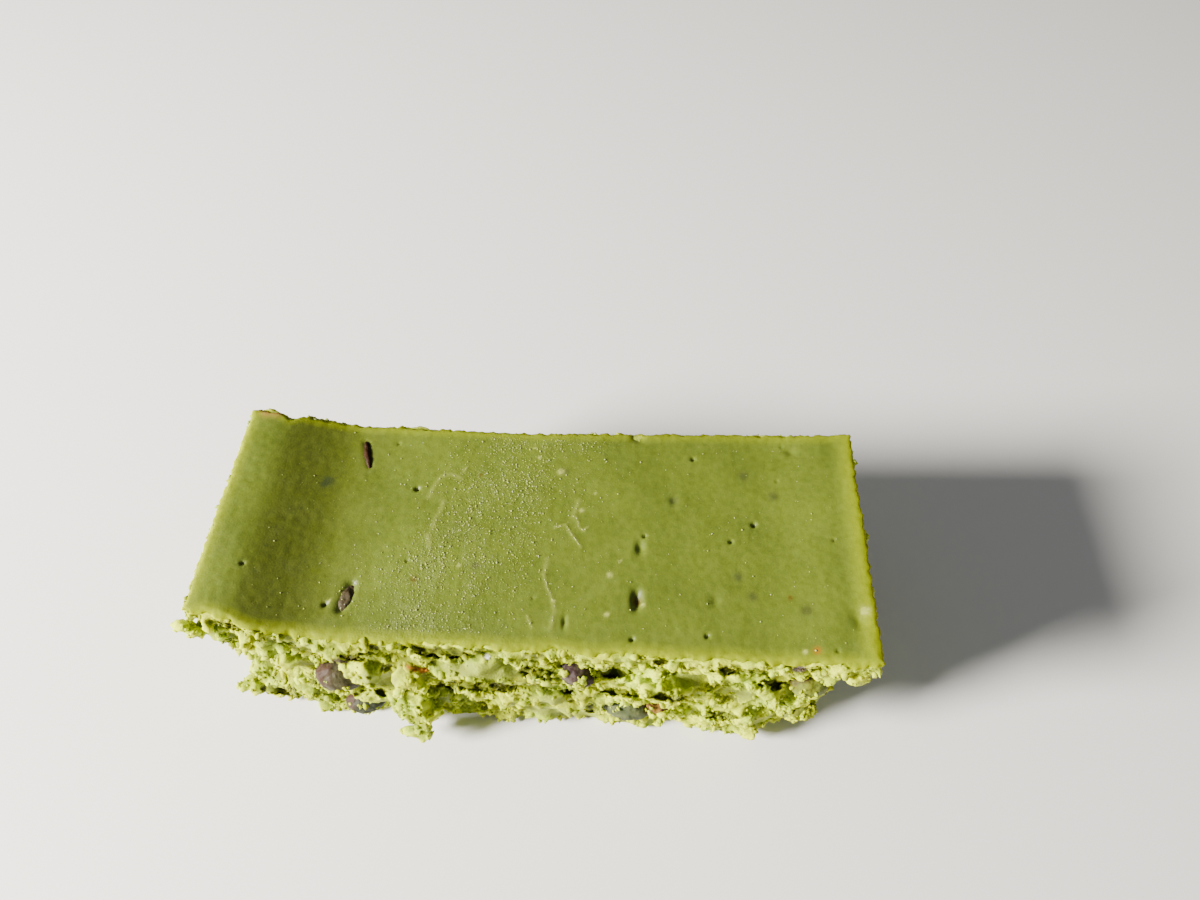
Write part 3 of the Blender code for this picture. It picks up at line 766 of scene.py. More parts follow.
def kept_inside(centres, radii, past_cut=0.0):
    """Drops balls above the skin, below the base, out of the outline, or past the clean cut rims."""
    local = centres - SHIFT
    rim = top_height(local[:, 0], local[:, 1])
    fine = (centres[:, 2] + BALL_TOP * radii < rim - SKIN_GAP) & (centres[:, 2] - radii > BASE_GAP)
    low = np.array(CAD_LOW) / MM - BOX_ROOM
    high = np.array(CAD_HIGH) / MM + BOX_ROOM
    fine &= ((centres - radii[:, None] > low) & (centres + radii[:, None] < high)).all(axis=1)
    past_end = np.abs(local[:, 0]) + radii > LENGTH / 2 + past_cut
    past_back = local[:, 1] + radii > back_line(local[:, 0]) + past_cut
    fine &= ~((past_end | past_back) & (centres[:, 2] + radii > rim - CUT_HEIGHT))
    return centres[fine], radii[fine]


def fused_crumb():
    """The core and all the balls, fused by a voxel remesh."""
    draw = np.random.default_rng(11)
    shapes = ball_shapes(subdivisions=2, count=6, unevenness=0.3, seed=3.0)
    parts = [arrays_of(CORE.data)]
    lobe = np.array(CORNER_LOBE)
    clusters, lone = kept_inside(*cluster_balls(draw)), kept_inside(*lone_balls(draw))
    for centres, radii in (clusters, lone, (lobe[:, :3] + SHIFT, lobe[:, 3])):
        parts.append(strew(shapes, centres, radii, draw))
    points = np.concatenate([part[0] for part in parts])
    starts = np.cumsum([0] + [len(part[0]) for part in parts[:-1]])
    triangles = np.concatenate([part[1] + start for part, start in zip(parts, starts)])
    body = new_object("crumb_body", mesh_from_arrays("crumb_body", points, triangles))
    remesh = body.modifiers.new("Fuse", "REMESH")
    remesh.mode = "VOXEL"
    remesh.voxel_size = BODY_VOXEL * MM
    return settled(body)


BODY = fused_crumb()
print("fused faces", len(BODY.data.polygons))

# %% [markdown]
# ## Roughening
# The fused wall is still too round. Its points are moved as arrays: smears are averaged flat,
# hollows pushed in, clumps drawn out, and all of it roughened with fine noise. The base is
# levelled so that the bar stands flat, and the top kept below the skin. A decimate then thins
# flat stretches. Sculpt brushes could do this by hand, but never twice in the same way.

# %% Roughen, level and thin the crumb
HOLLOW_DEPTH, CLEARED_DEPTH, CLUMP_RISE = 1.7, 1.1, 0.5
SMEAR_ROUNDS, SMEAR_SHARE, SMEAR_CALM = 12, 0.85, 0.8
RAGGED_SIZE, RAGGED_HEIGHT, RAGGED_DROP, RAGGED_FINER = 0.8, 0.15, 0.9, 2.1
SKIN_ROOM, PIT_ROOM, PIT_FROM, RIM_ROOM = 0.12, 1.2, 1.3, 0.4
CLUMP_MIDDLE, CLUMP_LEAN, CLUMP_TAPER, CLUMP_WIDTH = -15.5, 0.115, 0.6, 3.8
CLUMP_FROM, CLUMP_FADE = 3.0, 6.0


def blurred_points(mesh, rounds):
    """The mesh's points after this many rounds of averaging with their neighbours."""
    points, _ = points_and_normals(mesh)
    ends = np.empty(len(mesh.edges) * 2, np.int32)
    mesh.edges.foreach_get("vertices", ends)
    first, second = ends[::2], ends[1::2]
    total = len(points)
    neighbours = np.maximum(np.bincount(ends, minlength=total), 1)[:, None]
    for _ in range(rounds):
        sums = []
        for along in points.T:
            sums.append(np.bincount(first, along[second], total) + np.bincount(second, along[first], total))
        points = 0.5 * points + 0.5 * np.stack(sums, axis=1) / neighbours
    return points


def taper_clump(points):
    """Narrows the hanging clump towards its tip, which lies under its right side."""
    across, up = seen_place(points / MM)
    away = CLUMP_MIDDLE - CLUMP_LEAN * (CLUMP_FROM - up) - across
    share = CLUMP_TAPER * np.exp(-(away / CLUMP_WIDTH) ** 4) * smooth_step((CLUMP_FROM - up) / CLUMP_FADE)
    points[:, 0] += MM * share * away


def crumb_top(local):
    """Highest that the crumb may reach: just under the skin, lower at cut rims and below its pits."""
    from_cut = np.minimum(LENGTH / 2 - np.abs(local[:, 0]), back_line(local[:, 0]) - local[:, 1])
    from_rim = np.minimum(from_cut, front_line(local[:, 0]) + local[:, 1])
    room = SKIN_ROOM + RIM_ROOM * (1 - smooth_step(from_cut)) + PIT_ROOM * smooth_step(from_rim - PIT_FROM)
    return top_height(local[:, 0], local[:, 1]) - room


def roughened(body):
    """Smears, hollows and clumps, fine unevenness, a level base and a top under the skin."""
    mesh = body.data
    points, normals = points_and_normals(mesh)
    smear = mark_mask(points / MM, SMEARS)[:, None]
    flat = blurred_points(mesh, SMEAR_ROUNDS)
    points = points * (1 - SMEAR_SHARE * smear) + flat * SMEAR_SHARE * smear
    sight = line_of_sight(points / MM)
    hollow = mark_mask(points / MM, HOLLOWS)
    clump = mark_mask(points / MM, BRIGHT_CLUMPS)
    cleared = mark_mask(points / MM, CLEARED)
    depth = np.maximum(HOLLOW_DEPTH * hollow, CLEARED_DEPTH * cleared) - CLUMP_RISE * clump
    points += sight * (MM * depth)[:, None]
    taper_clump(points)
    scale = 1 / (RAGGED_SIZE * MM)
    fine = fractal_at((Vector(p) * scale for p in points.tolist()), RAGGED_DROP, RAGGED_FINER)
    points += normals * (RAGGED_HEIGHT * MM * fine)[:, None] * (1 - SMEAR_CALM * smear)
    local = points / MM - SHIFT
    points[:, 2] = np.clip(points[:, 2], 0.0, crumb_top(local) * MM)
    mesh.vertices.foreach_set("co", points.astype(np.float32).ravel())
    mesh.update()
    return body


def thinned(body, triangles):
    """Collapses the flattest faces until this many triangles are left."""
    now = sum(len(polygon.vertices) - 2 for polygon in body.data.polygons)
    decimate = body.modifiers.new("Thin", "DECIMATE")
    decimate.ratio = min(1.0, triangles / now)
    return settled(body)


roughened(BODY)
thinned(BODY, BODY_TRIANGLES)
print("crumb triangles", sum(len(p.vertices) - 2 for p in BODY.data.polygons))

# %% [markdown]
# ## High and low crumb
# The tips of the crumb are painted pale and its gaps deep olive: painted light and painted
# shade, on top of what the lamp gives. How far a point stands above its smoothed neighbourhood
# tells tips from gaps, and its distance from the core tells lumps from wall. Both go into one
# number at each point. The right half of the front gets a little painted light as well.

# %% Tell high crumb from low
# Painted shade and light: peaks, lumps, clumps and the right half of the front are lightened, gaps and
# hollows darkened.
BLUR_ROUNDS, BODY_TONE, PEAK_TONE, CORE_TONE = 30, 0.42, 0.75, 0.16
HOLLOW_SHADE, CLUMP_LIGHT, SMEAR_TONE, SMEAR_EVEN = 0.5, 0.22, 0.3, 0.6
PAINTED_LIGHT_RIGHT = (0.17, 0, 22)
SHADED_BACK, SHADED_END = (1, -11, 5), (1, 38.5, 2)


def store(mesh, name, values):
    """Keeps one number for each point."""
    layer = mesh.attributes.new(name, "FLOAT", "POINT")
    layer.data.foreach_set("value", np.clip(values, 0, 1).astype(np.float32))


def store_flecks(mesh, flecks):
    """Keeps a fleck's colour and its share for each point."""
    layer = mesh.attributes.new("fleck", "FLOAT_COLOR", "POINT")
    layer.data.foreach_set("color", flecks.astype(np.float32).ravel())


def mark_crumb(mesh, points, tone_and_shade, smear, flecks):
    """Everything that the crumb's material reads; the back and the right end are the shaded sides."""
    store(mesh, "tone_and_shade", tone_and_shade)
    store(mesh, "smear", smear)
    x, y = (points[:, :2] / MM - SHIFT[:2]).T
    store(mesh, "shaded", np.maximum(rise(y, *SHADED_BACK), rise(x, *SHADED_END)))
    store_flecks(mesh, flecks)


def core_tree():
    """A search tree of the core's faces."""
    bm = bmesh.new()
    bm.from_mesh(CORE.data)
    tree = BVHTree.FromBMesh(bm)
    bm.free()
    return tree


def above_core(points, tree):
    """How far each point, in metres, stands out of the core, in millimetres."""
    heights = []
    for point in points.tolist():
        place, normal, _, _ = tree.find_nearest(Vector(point))
        heights.append((Vector(point) - place).dot(normal) / MM)
    return np.array(heights)


def marked_tone(points, hollow_shade):
    """What the marks change in the height: painted shade in hollows, painted light on clumps and to the
    right.
    """
    places = points / MM
    tone = CLUMP_LIGHT * mark_mask(places, BRIGHT_CLUMPS) - hollow_shade * mark_mask(places, HOLLOWS)
    return tone + rise(places[:, 0], *PAINTED_LIGHT_RIGHT)


def mark_body(body, tree):
    """Stores height, 0 deep in a gap to 1 on a peak, as painted shade and light, and how smeared each point
    is.
    """
    points, normals = points_and_normals(body.data)
    peak = ((points - blurred_points(body.data, BLUR_ROUNDS)) * normals).sum(axis=1) / MM
    height = BODY_TONE + PEAK_TONE * peak + CORE_TONE * above_core(points, tree)
    height += marked_tone(points, HOLLOW_SHADE)
    smear = mark_mask(points / MM, SMEARS)
    height = height * (1 - SMEAR_EVEN * smear) + SMEAR_TONE * smear
    mark_crumb(body.data, points, height, smear, flecks_at(points / MM))


TREE = core_tree()
mark_body(BODY, TREE)
BODY.data.materials.append(CRUMB)
dress(BODY, "cheesecake")
print("body marked")

# %% [markdown]
# ## Loose grains
# The last size down is a grain of curd, a third of a millimetre across and more. About fifteen
# thousand of them lie on the torn faces in patches. They stay separate little stones of twenty
# faces each, half sunk, because a remesh fine enough to hold them would be far too heavy.

# %% Strew the grains
GRAIN_SETS = (("fine_grains", 9000, 0.17, 0.17, 21), ("coarse_grains", 6500, 0.26, 0.30, 22))
GRAIN_SHAPES = ball_shapes(subdivisions=1, count=8, unevenness=0.95, seed=9.0)
GRAIN_SQUASH, GRAIN_SUNK, GRAIN_PAST_CUT = 0.45, (-0.8, 0.15), 0.3
GRAIN_TONE, GRAIN_CORE_TONE, GRAIN_HOLLOW_SHADE = 0.46, 0.30, 0.4
PATCH_SIZE, PATCH_EVEN, PATCH_UNEVEN, PATCH_LEAST = 2.6, 0.65, 1.4, 0.12
BARER = ((SMEARS, 0.9), (HOLLOWS, 0.6), (CLEARED, 0.9))


def patchy(places, draw):
    """Keeps more grains in some patches than in others, and few on smears, hollows and beans."""
    patch = noise_at(Vector(p) / PATCH_SIZE for p in places.tolist())
    wanted = np.clip(PATCH_EVEN + PATCH_UNEVEN * patch, PATCH_LEAST, 1.0)
    for marks, bare in BARER:
        wanted *= 1 - bare * mark_mask(places, marks)
    return draw.random(len(places)) < wanted


def grain_piece(name, count, smallest, spread, seed):
    """One joined mesh of small stones over the torn faces."""
    draw = np.random.default_rng(seed)
    places, ways = side_samples(BODY.data, count * 2, draw, low=0.25, top_gap=0.2)
    kept = patchy(places, draw)
    places, ways = places[kept][:count], ways[kept][:count]
    radii = smallest + spread * draw.random(len(places)) ** 2.5
    centres = places + ways * (radii * draw.uniform(*GRAIN_SUNK, len(places)))[:, None]
    centres, radii = kept_inside(centres, radii, GRAIN_PAST_CUT)
    piece, points = strewn_piece(name, GRAIN_SHAPES, centres, radii, draw, GRAIN_SQUASH, CRUMB)
    # Painted light on grains that stand out of the core, painted shade on those in hollows.
    tone = GRAIN_TONE + GRAIN_CORE_TONE * above_core(points, TREE)
    tone += marked_tone(points, GRAIN_HOLLOW_SHADE)
    mark_crumb(piece.data, points, tone, np.zeros(len(points)), flecks_at(points / MM))
    return dress(piece, "cheesecake")


for grain_set in GRAIN_SETS:
    made = grain_piece(*grain_set)
    print(made.name, len(made.data.polygons), "faces")
bpy.data.objects.remove(CORE)

# %% [markdown]
# ## The skin
# The top baked into a smooth satin skin with pinholes, a few small craters and faint creases.
# It is a thick slab whose walls hide in the crumb, so that light can travel in it as it does
# in the crumb below. A fine grid is enough for the marks, which are round dips and low ridges.

# %% Marks of the skin, in millimetres
SKIN_CELL = 0.21
PINHOLES = (
    (-16.6, 5.0, 0.28), (-16.0, -5.4, 0.18), (-20.3, 11.9, 0.16), (-24.7, -11.7, 0.26),
    (19.0, 11.7, 0.22), (26.6, 2.1, 0.28), (23.6, -0.5, 0.22), (36.2, 0.1, 0.16),
    (12.9, -0.3, 0.20), (11.8, -14.0, 0.24), (20.5, -13.1, 0.24), (35.3, -14.3, 0.18),
    (29.8, 8.8, 0.14), (30.7, 14.2, 0.14), (-0.2, -9.5, 0.15), (-12.5, -5.1, 0.14),
    (-35.0, -7.9, 0.20),
)
CRATERS = (
    (12.4, -2.0, 0.5, 0.9, 0.40), (12.2, -9.0, 0.55, 1.2, 0.85), (16.5, 5.2, 0.5, 0.7, 0.22),
    (21.5, -8.5, 0.6, 0.7, 0.22), (38.1, -10.5, 0.8, 1.0, 0.35), (31.9, 13.4, 0.7, 0.6, 0.25),
    (3.8, -12.3, 0.25, 0.8, 0.30), (11.6, 15.0, 0.8, 0.8, 0.5),
)
SCRATCHES = (
    ((2.9, 0.8), (3.7, -0.4), (4.4, -1.3), (5.1, -2.3)),
    ((3.8, 2.1), (4.3, 1.8), (4.7, 0.4), (5.3, 0.1), (5.7, 0.6)),
    ((1.7, 0.3), (2.3, 0.6), (2.9, 0.8)),
    ((0.9, -6.3), (1.4, -8.0), (2.3, -9.7)),
    ((-0.6, -11.8), (0.1, -13.2)),
    ((-10.6, 8.7), (-11.0, 8.0)),
)
FAINT_LINES = (
    ((4.4, 4.5), (4.1, 3.5), (4.0, 2.6)),
    ((1.1, -4.2), (0.9, -6.3)),
    ((2.3, -9.7), (2.6, -11.2), (2.3, -13.1)),
    ((-14.9, 3.9), (-14.5, 5.5), (-13.8, 7.1), (-12.6, 7.5), (-11.2, 7.0)),
    ((-12.9, 3.3), (-12.9, 2.3), (-13.4, 1.1), (-13.6, -0.6)),
    ((-14.1, -1.6), (-13.6, -3.0)),
)
SET_IN = (((-24.7, 11.8), (-23.5, 8.2), 0.60, 0.20), ((-22.1, -9.0), (-22.7, -12.1), 0.85, 0.45))
SKIN_FLECKS = (
    ((0.068, 0.084, 0.014), (
        (25.5, 9.4, 0.6), (29.2, 6.4, 0.6), (24.3, -5.3, 0.5), (26.0, -7.8, 0.5), (32.2, -9.4, 0.6),
        (16.5, 5.2, 0.5), (2.2, 8.8, 0.5), (-7.6, -5.6, 0.5),
    )),
    ((0.036, 0.050, 0.010), ((-28.2, 5.3, 0.65), (-28.6, 4.7, 0.4))),
    ((0.085, 0.060, 0.006), ((-14.7, -7.8, 0.35), (30.4, -7.8, 0.3), (12.2, -9.0, 0.5), (-8.7, 7.6, 0.2))),
    ((0.26, 0.125, 0.0), ((33.0, -14.3, 0.40),)),
    ((0.28, 0.17, 0.03), ((-38.0, 14.7, 0.9), (-36.9, 14.7, 0.8))),
)
# Painted highlights: small glints on the wet skin.
GLINT_SPOTS = (
    (8.8, -5.9, 0.3), (8.7, -11.0, 0.25), (-1.3, 10.8, 0.2), (-2.1, 12.4, 0.2), (4.8, 3.0, 0.25),
    (1.7, 8.7, 0.4), (38.9, -9.3, 0.5), (31.6, -14.5, 0.25), (6.4, 5.6, 0.15), (10.0, -3.9, 0.2),
    (2.3, -9.7, 0.22), (-9.6, -5.7, 0.2), (12.9, -9.6, 0.2), (-24.2, -11.2, 0.2),
)


def bell(x, y, centre_x, centre_y, wide, deep):
    """A round hump, 1 at its middle."""
    return np.exp(-((x - centre_x) / wide) ** 2 - ((y - centre_y) / deep) ** 2)


def ridge(x, y, start, end, width):
    """A low ridge between two places."""
    start, end = np.array(start), np.array(end)
    along = end - start
    share = np.clip(((x - start[0]) * along[0] + (y - start[1]) * along[1]) / (along @ along), 0, 1)
    away = np.hypot(x - start[0] - share * along[0], y - start[1] - share * along[1])
    return np.exp(-(away / width) ** 2)


def along_lines(x, y, lines, width):
    """How near each place is to a set of bent lines, 1 on a line."""
    value = np.zeros(np.shape(x))
    for line in lines:
        for start, end in zip(line, line[1:]):
            value = np.maximum(value, ridge(x, y, start, end, width))
    return value


print("marks of the skin:", sum(map(len, (PINHOLES, CRATERS, SCRATCHES, FAINT_LINES, SET_IN))))

# %% [markdown]
# ## The slab of skin
# The marks are added up as heights on one grid, and the grid's outer edge is drawn down into
# the crumb as walls. Cutting holes with Booleans would leave sharp edges, which a baked skin
# never has.

# %% Build the skin
RIM_BAND, RIM_DROP, RIM_ROUND, LIP_KEPT, END_FROM = 2.0, 0.45, 0.9, 0.7, 38
END_SLANT, SLANT_DEEP, SLANT_LONG = 0.45, (1, -16, 32), (1, 0, 40)
TORN_SIZE, TORN_LAYER, TORN_DROP = 1.1, 2.0, 0.8
TORN_BACK, TORN_ENDS, TORN_SIDES = 0.15, 0.3, 0.4
PINHOLE_DEPTH, SCRATCH_RAISE, FAINT_RAISE = 2.2, (0.06, 0.2), (0.04, 0.35)
PORE_HEIGHT, PORE_SIZE, PORE_LAYER = 0.035, 0.9, 5.0
WALL_STEPS = ((0.5, 0.25), (2.5, 0.6))


def skin_grid():
    """A flat unit grid, with cells as fine on the bar as the marks need."""
    bm = bmesh.new()
    across, deep = round(LENGTH / SKIN_CELL), round((FRONT + BACK) / SKIN_CELL)
    bmesh.ops.create_grid(bm, x_segments=across, y_segments=deep, size=1)
    return bm


def rim_places(u, v):
    """Where grid points lie, with ragged rims, and how far each is from an end and from a side."""
    x = u * LENGTH / 2
    y = np.where(v < 0, v * front_line(x), v * back_line(x))
    x = x - END_SLANT * rise(y, *SLANT_DEEP) * rise(x, *SLANT_LONG)
    ragged = fractal_at((Vector((a / TORN_SIZE, b / TORN_SIZE, TORN_LAYER)) for a, b in zip(x, y)), TORN_DROP)
    from_end = np.minimum((1 - np.abs(u)) * LENGTH / 2, RIM_BAND)
    from_side = np.minimum((1 - np.abs(v)) * FRONT, RIM_BAND)
    x = x - np.sign(u) * (TORN_BACK + TORN_ENDS * ragged) * (1 - from_end / RIM_BAND) ** 2
    y = y - np.sign(v) * (TORN_BACK + TORN_SIDES * ragged) * (1 - from_side / RIM_BAND) ** 2
    return x, y, from_end, from_side


def skin_height(x, y, from_end, from_side):
    """Height of the skin: rounded at its rims, less so at the right lip, with every mark in it."""
    on_lip = (x > END_FROM) & (from_end < from_side)
    rounding = (1 - np.clip(np.minimum(from_end, from_side) / RIM_ROUND, 0, 1)) ** 2
    height = top_height(x, y) - RIM_DROP * rounding * (1 - LIP_KEPT * on_lip)
    for hole_x, hole_y, radius in PINHOLES:
        height -= PINHOLE_DEPTH * radius * bell(x, y, hole_x, hole_y, radius, radius)
    for crater_x, crater_y, wide, deep, depth in CRATERS:
        height -= depth * bell(x, y, crater_x, crater_y, wide, deep)
    for lines, (raised, width) in ((SCRATCHES, SCRATCH_RAISE), (FAINT_LINES, FAINT_RAISE)):
        height += raised * along_lines(x, y, lines, width)
    for start, end, width, depth in SET_IN:
        height -= depth * ridge(x, y, start, end, width) ** 2
    return height + PORE_HEIGHT * noise_over(x, y, PORE_SIZE, PORE_SIZE, PORE_LAYER)


def skin_slab():
    """The grid laid over the bar, with walls down into the crumb and a closed underside."""
    bm = skin_grid()
    flat = np.array([vert.co[:2] for vert in bm.verts])
    x, y, from_end, from_side = rim_places(flat[:, 0], flat[:, 1])
    height = skin_height(x, y, from_end, from_side)
    for vert, *place in zip(bm.verts, x + SHIFT[0], y + SHIFT[1], height):
        vert.co = Vector(place) * MM
    rim = [e for e in bm.edges if e.is_boundary]
    for depth, inset in WALL_STEPS:
        made = bmesh.ops.extrude_edge_only(bm, edges=rim)["geom"]
        rim = [g for g in made if isinstance(g, bmesh.types.BMEdge)]
        for vert in {v for e in rim for v in e.verts}:
            vert.co.z -= depth * MM
            vert.co.x -= math.copysign(inset * MM, vert.co.x) * (abs(vert.co.x) > END_FROM * MM)
            vert.co.y -= math.copysign(inset * MM, vert.co.y)
    bmesh.ops.holes_fill(bm, edges=rim, sides=0)
    bmesh.ops.recalc_face_normals(bm, faces=bm.faces)
    return mesh_of(bm, "skin_top"), x, y, np.minimum(from_end, from_side)


SKIN_SLAB = skin_slab()
print("skin faces", len(SKIN_SLAB[0].polygons))

# %% [markdown]
# ## The colours of the skin
# The skin's spots, its band of painted shade, its rim of painted light, its painted glints and
# its wet stretch are numbers at each point, worked out from the same places as the heights, so
# that a pit and its shade can't drift apart. Painting them on an image would need a layout of the
# mesh, which this way does without.

# %% Colour the skin
SPOT_LAYER, SPOT_STRENGTH = 3.0, 1.4
DEW_MIDDLE, DEW_SLANT, DEW_HALF = -7.5, 0.42, 8.5
DEW_PATCH, DEW_LAYER, DEW_EVEN, DEW_UNEVEN = 4, 8.0, 0.85, 0.9
# Where the band of painted shade at the left curl starts and ends, and where the right end's painted light
# begins.
BAND_IN, BAND_OUT, LIT_END = (0.75, -36.5, 3.5), (1, -29.5, 12), (0.9, 37.0, 3.0)
# How strong, large and ragged the painted glints are, and the painted highlights along scratches and faint
# lines.
PALE_SPOT, PALE_SIZE, PALE_RAGGED = 0.7, 0.28, 2.2
SCRATCH_PALE, FAINT_PALE = (0.25, 0.16), (0.18, 0.3)


def spots_at(x, y, spots, size=0.5, ragged=0.5):
    """How far inside round soft spots each place is, with ragged rims."""
    wobble = noise_over(x, y, size, size, SPOT_LAYER)
    value = np.zeros(np.shape(x))
    for spot_x, spot_y, radius in spots:
        value = np.maximum(value, bell(x, y, spot_x, spot_y, radius, radius))
    return np.clip(SPOT_STRENGTH * value * (1 + ragged * wobble), 0, 1)


def skin_flecks(x, y):
    """Colour of the skin's spots at each place, and how much of it."""
    flecks = np.zeros((len(x), 4))
    for colour, spots in SKIN_FLECKS:
        amount = spots_at(x, y, spots)
        flecks[amount > flecks[:, 3], :3] = colour
        flecks[:, 3] = np.maximum(flecks[:, 3], amount)
    return flecks


def wetness(x, y):
    """The slanted stretch of the skin that a film of dew covers."""
    across = (x - DEW_MIDDLE - DEW_SLANT * y) / DEW_HALF
    patch = noise_over(x, y, DEW_PATCH, DEW_PATCH, DEW_LAYER)
    return np.clip(np.exp(-across ** 2) * (DEW_EVEN + DEW_UNEVEN * patch), 0, 1)


def padded(values, total, rest=0.0):
    """The grid's values, with one value for the walls and the underside that follow."""
    full = np.full(total, rest, np.float32)
    full[:len(values)] = values
    return full


def skin_piece(mesh, x, y, edge):
    """The finished skin, with the masks that its material reads."""
    total = len(mesh.vertices)
    # Painted shade in the band where the left end curls away from the lamp.
    shade_band = rise(x, *BAND_IN) * (1 - rise(x, *BAND_OUT))
    # Painted light at the thin rim and at the right end facing the lamp; the same mask makes the rim rougher
    # and less shiny.
    rim = np.maximum(1 - np.clip(edge / RIM_BAND, 0, 1), rise(x, *LIT_END))
    # Painted highlights: glint spots, and the lit edges of the scratches and faint lines.
    pale = PALE_SPOT * spots_at(x, y, GLINT_SPOTS, PALE_SIZE, PALE_RAGGED)
    for lines, (strength, width) in ((SCRATCHES, SCRATCH_PALE), (FAINT_LINES, FAINT_PALE)):
        pale = np.maximum(pale, strength * along_lines(x, y, lines, width))
    store(mesh, "rim", padded(rim, total, 1.0))
    store(mesh, "shade_band", padded(shade_band, total))
    store(mesh, "wet", padded(wetness(x, y), total))
    store(mesh, "painted_glint", padded(pale, total))
    flecks = np.zeros((total, 4))
    flecks[:len(x)] = skin_flecks(x, y)
    store_flecks(mesh, flecks)
    return dress(new_object("skin_top", mesh, SKIN), "cheesecake")


print("masks of the skin:", len(skin_piece(*SKIN_SLAB).data.attributes))

# %% [markdown]
# ## Dew
# A slanted stretch of the top is wet: thousands of tiny drops each catch the window. A noisy
# bump would shimmer from afar but look like sand close by. Flat little beads of twenty faces
# stay true at every distance, and rows of them mark the wet edges of the scratches. Their pale
# colour is a painted glint on top of their own shine.

# %% Beads of dew
DEW_BEADS, DEW_STRAY, DEW_RADIUS, DEW_SPREAD = 3600, 420, 0.036, 0.06
DEW_TRIES, DEW_ALONG, DEW_ACROSS = 40000, (-34, 38), (-14.4, 13.8)
DEW_LIFT, DEW_SQUASH = 0.3, 0.5
# The beads' pale colour is a painted glint, so they read bright from any side.
DEW_GLINT_COLOUR, DEW_ROUGHNESS = (0.36, 0.40, 0.11, 1), 0.18
SCRATCH_STEP, SCRATCH_JITTER, FAINT_STEP = 0.09, 0.05, 0.35


def beads_along(lines, step, draw):
    """Places along bent lines, a little off them."""
    places = []
    for line in lines:
        for start, end in zip(line, line[1:]):
            start, end = np.array(start), np.array(end)
            count = max(2, int(np.hypot(*(end - start)) / step))
            share = draw.random(count)[:, None]
            places.append(start + share * (end - start) + draw.normal(size=(count, 2)) * SCRATCH_JITTER)
    return np.concatenate(places)


def dew_material():
    """Tiny flat beads that catch the light, with a pale colour that paints their glint as well."""
    shader = Shader("dew")
    shader.set(Base_Color=DEW_GLINT_COLOUR, Roughness=DEW_ROUGHNESS)
    return shader.material


def dew_piece():
    """Beads in the wet stretch, a few beyond it, and rows of them along the scratches."""
    draw = np.random.default_rng(31)
    along, across = draw.uniform(*DEW_ALONG, DEW_TRIES), draw.uniform(*DEW_ACROSS, DEW_TRIES)
    anywhere = np.stack([along, across], axis=1)
    wet = draw.random(DEW_TRIES) < wetness(along, across) ** 1.5
    rows = beads_along(SCRATCHES, SCRATCH_STEP, draw), beads_along(FAINT_LINES, FAINT_STEP, draw)
    x, y = np.concatenate([anywhere[wet][:DEW_BEADS], anywhere[-DEW_STRAY:], *rows]).T
    radii = DEW_RADIUS + DEW_SPREAD * draw.random(len(x)) ** 3
    centres = np.stack([x + SHIFT[0], y + SHIFT[1], top_height(x, y) + DEW_LIFT * radii], axis=1)
    shapes = ball_shapes(subdivisions=1, count=4, unevenness=0.8, seed=5.0)
    dew, _ = strewn_piece("dew", shapes, centres, radii, draw, DEW_SQUASH, dew_material())
    return dress(dew, "cheesecake")


print("dew faces", len(dew_piece().data.polygons))

# %% [markdown]
# ## The beans
# A cooked red bean is a fat rod with round ends and a thin wet skin. In the crumb some of them
# are broken, so the pale inside shows under a rim of skin. Each one is a merged copy of its
# node, rounded by subdivision and then wrinkled, so it stays in the socket that the model cut.
# A bean modelled anew might not fit there.

# %% Beans in their sockets
BEAN_LOOKS = {
    "bean_1": (DARK_BEAN, "bean", (-0.9, -0.2, 0.4)),
    "bean_2": (BLUE_BEAN, "bean", (-0.9, -0.1, 0.4)),
    "bean_3": (RED_SKIN, "bean_skin", (0.6, -0.4, -0.7)),
    "bean_4": (GREY_BEAN, "bean", (0.9, 0.3, 0.3)),
    "bean_5": (GREEN_BEAN, "bean_inside", (-0.55, 0.35, 0.75)),
    "bean_6": (GREEN_BEAN, "bean_inside", (0.2, 0.9, -0.4)),
    "skin_4": (RUSTY_SKIN, "bean_skin", (0.9, 0.0, -0.4)),
    "top_husk": (HUSK_SKIN, "bean_skin", (0.0, 1.0, 0.0)),
    "top_bean": (MAUVE_BEAN, "bean", (0.2, 1.0, 0.0)),
}
PLAIN_BEAN = (DARK_BEAN, "bean", (-0.6, 0.5, 0.6))
TOP_PIECES = ("top_husk", "top_bean")
TIP_FROM, TIP_FADE, TIP_RAGGED = 0.50, 0.36, 0.18
BEAN_LEVELS, BEAN_SWELL, BEAN_WRINKLE, WRINKLE_SCALE = 3, 0.14, 0.14, 1.1


def detailed_bean(name):
    """A merged copy of the node, subdivided smooth, with a wrinkled skin."""
    material, slot, tip_way = BEAN_LOOKS.get(name, PLAIN_BEAN)
    piece = new_object(name + "_fine", merged_copy(name, name + "_fine"), material)
    smooth = piece.modifiers.new("Round", "SUBSURF")
    smooth.levels = smooth.render_levels = BEAN_LEVELS
    settled(piece)
    points, normals = points_and_normals(piece.data)
    lowest, highest = points.min(axis=0), points.max(axis=0)
    unit = (points - (highest + lowest) / 2) / ((highest - lowest) / 2)
    unit /= np.linalg.norm(unit, axis=1, keepdims=True)
    wobble = fractal_at(Vector(p) / MM * WRINKLE_SCALE for p in points.tolist())
    toward = unit @ np.array(Vector(tip_way).normalized()) + TIP_RAGGED * wobble
    store(piece.data, "tip", smooth_step((toward - TIP_FROM) / TIP_FADE))
    swell = 0.0 if name in TOP_PIECES else BEAN_SWELL
    points += normals * (MM * (swell + BEAN_WRINKLE * wobble))[:, None]
    piece.data.vertices.foreach_set("co", points.ravel())
    return dress(piece, name)


BEANS = {name: detailed_bean(name) for name in list(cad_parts) if name != "cheesecake"}
print("beans made:", len(BEANS))

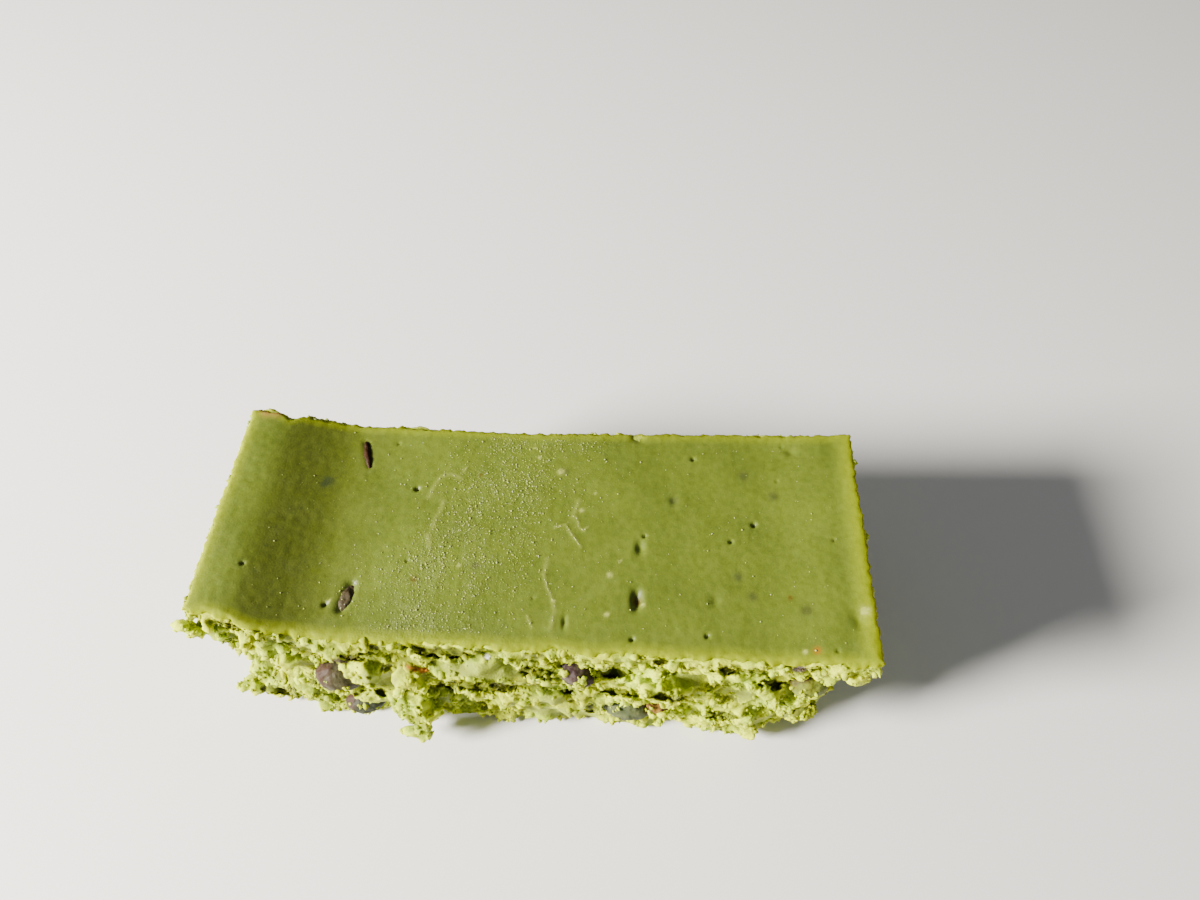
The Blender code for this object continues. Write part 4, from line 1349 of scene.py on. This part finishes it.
# %% [markdown]
# ## Crumbs that stick to the beans
# A bean rarely comes clean out of the cake. Crumbs cling to it, most of all to the pale halves
# near the right corner, which look like part of the cake until their rim of skin shows.

# %% Stuck crumbs
STUCK_CRUMBS = {
    "bean_1": (90, -0.15), "bean_2": (90, -0.10), "bean_3": (220, 0.0), "bean_4": (40, -0.2),
    "bean_5": (90, -0.15), "bean_6": (300, 0.05), "skin_4": (8, -0.2),
    "back_bean_1": (110, -0.15), "back_bean_2": (110, -0.05), "back_bean_3": (110, -0.12),
    "back_bean_4": (110, -0.05), "back_bean_5": (110, -0.15), "left_bean_1": (100, -0.1),
    "left_bean_2": (100, -0.05), "right_bean_1": (100, -0.1), "right_bean_2": (100, -0.05),
}
STUCK_TRIES, STUCK_PATCH, STUCK_FROM = 3, 1.1, 0.05
STUCK_SIZE, STUCK_EXTRA, STUCK_LIFT, STUCK_TONE, STUCK_MOTTLE = 0.15, 0.28, 0.1, 0.5, 0.35


def stuck_crumbs():
    """One joined mesh of grains in patches on the beans."""
    draw = np.random.default_rng(41)
    centres, radii = [], []
    for name, (count, cover) in STUCK_CRUMBS.items():
        places, ways = side_samples(BEANS[name].data, count * STUCK_TRIES, draw, low=0.3, top_gap=0.3)
        kept = noise_at(Vector(p) / STUCK_PATCH for p in places.tolist()) + cover > STUCK_FROM
        grain = STUCK_SIZE + STUCK_EXTRA * draw.random(kept.sum()) ** 2
        centres.append(places[kept] + ways[kept] * (STUCK_LIFT * grain)[:, None])
        radii.append(grain)
    centres, radii = np.concatenate(centres), np.concatenate(radii)
    piece, points = strewn_piece("stuck_crumbs", GRAIN_SHAPES, centres, radii, draw, GRAIN_SQUASH, CRUMB)
    tone = STUCK_TONE + STUCK_MOTTLE * draw.random(len(points))
    mark_crumb(piece.data, points, tone, np.zeros(len(points)), np.zeros((len(points), 4)))
    return dress(piece, "cheesecake")


print("stuck crumbs", len(stuck_crumbs().data.polygons))

# %% [markdown]
# ## The floor
# A plain pale surface, so that the bar's own colours and its soft shadow show. One wide face is
# enough for that, and it is only a stage: it isn't part of the bar.

# %% Floor
FLOOR_HALF, FLOOR_COLOUR, FLOOR_ROUGHNESS = 1.5, (0.80, 0.785, 0.76, 1), 0.45


def pale_floor():
    """A wide plain floor under the bar."""
    bm = bmesh.new()
    bmesh.ops.create_grid(bm, x_segments=1, y_segments=1, size=FLOOR_HALF)
    shader = Shader("pale_floor")
    shader.set(Base_Color=FLOOR_COLOUR, Roughness=FLOOR_ROUGHNESS)
    floor = new_object("pale_floor", mesh_of(bm, "pale_floor"), shader.material)


pale_floor()
print("floor made")

# %% [markdown]
# ## The sizes
# Last, the box of the imported model is printed, in millimetres.

# %% Record the sizes and finish
print("CAD", [round(v / MM, 1) for v in (*CAD_LOW, *CAD_HIGH)])
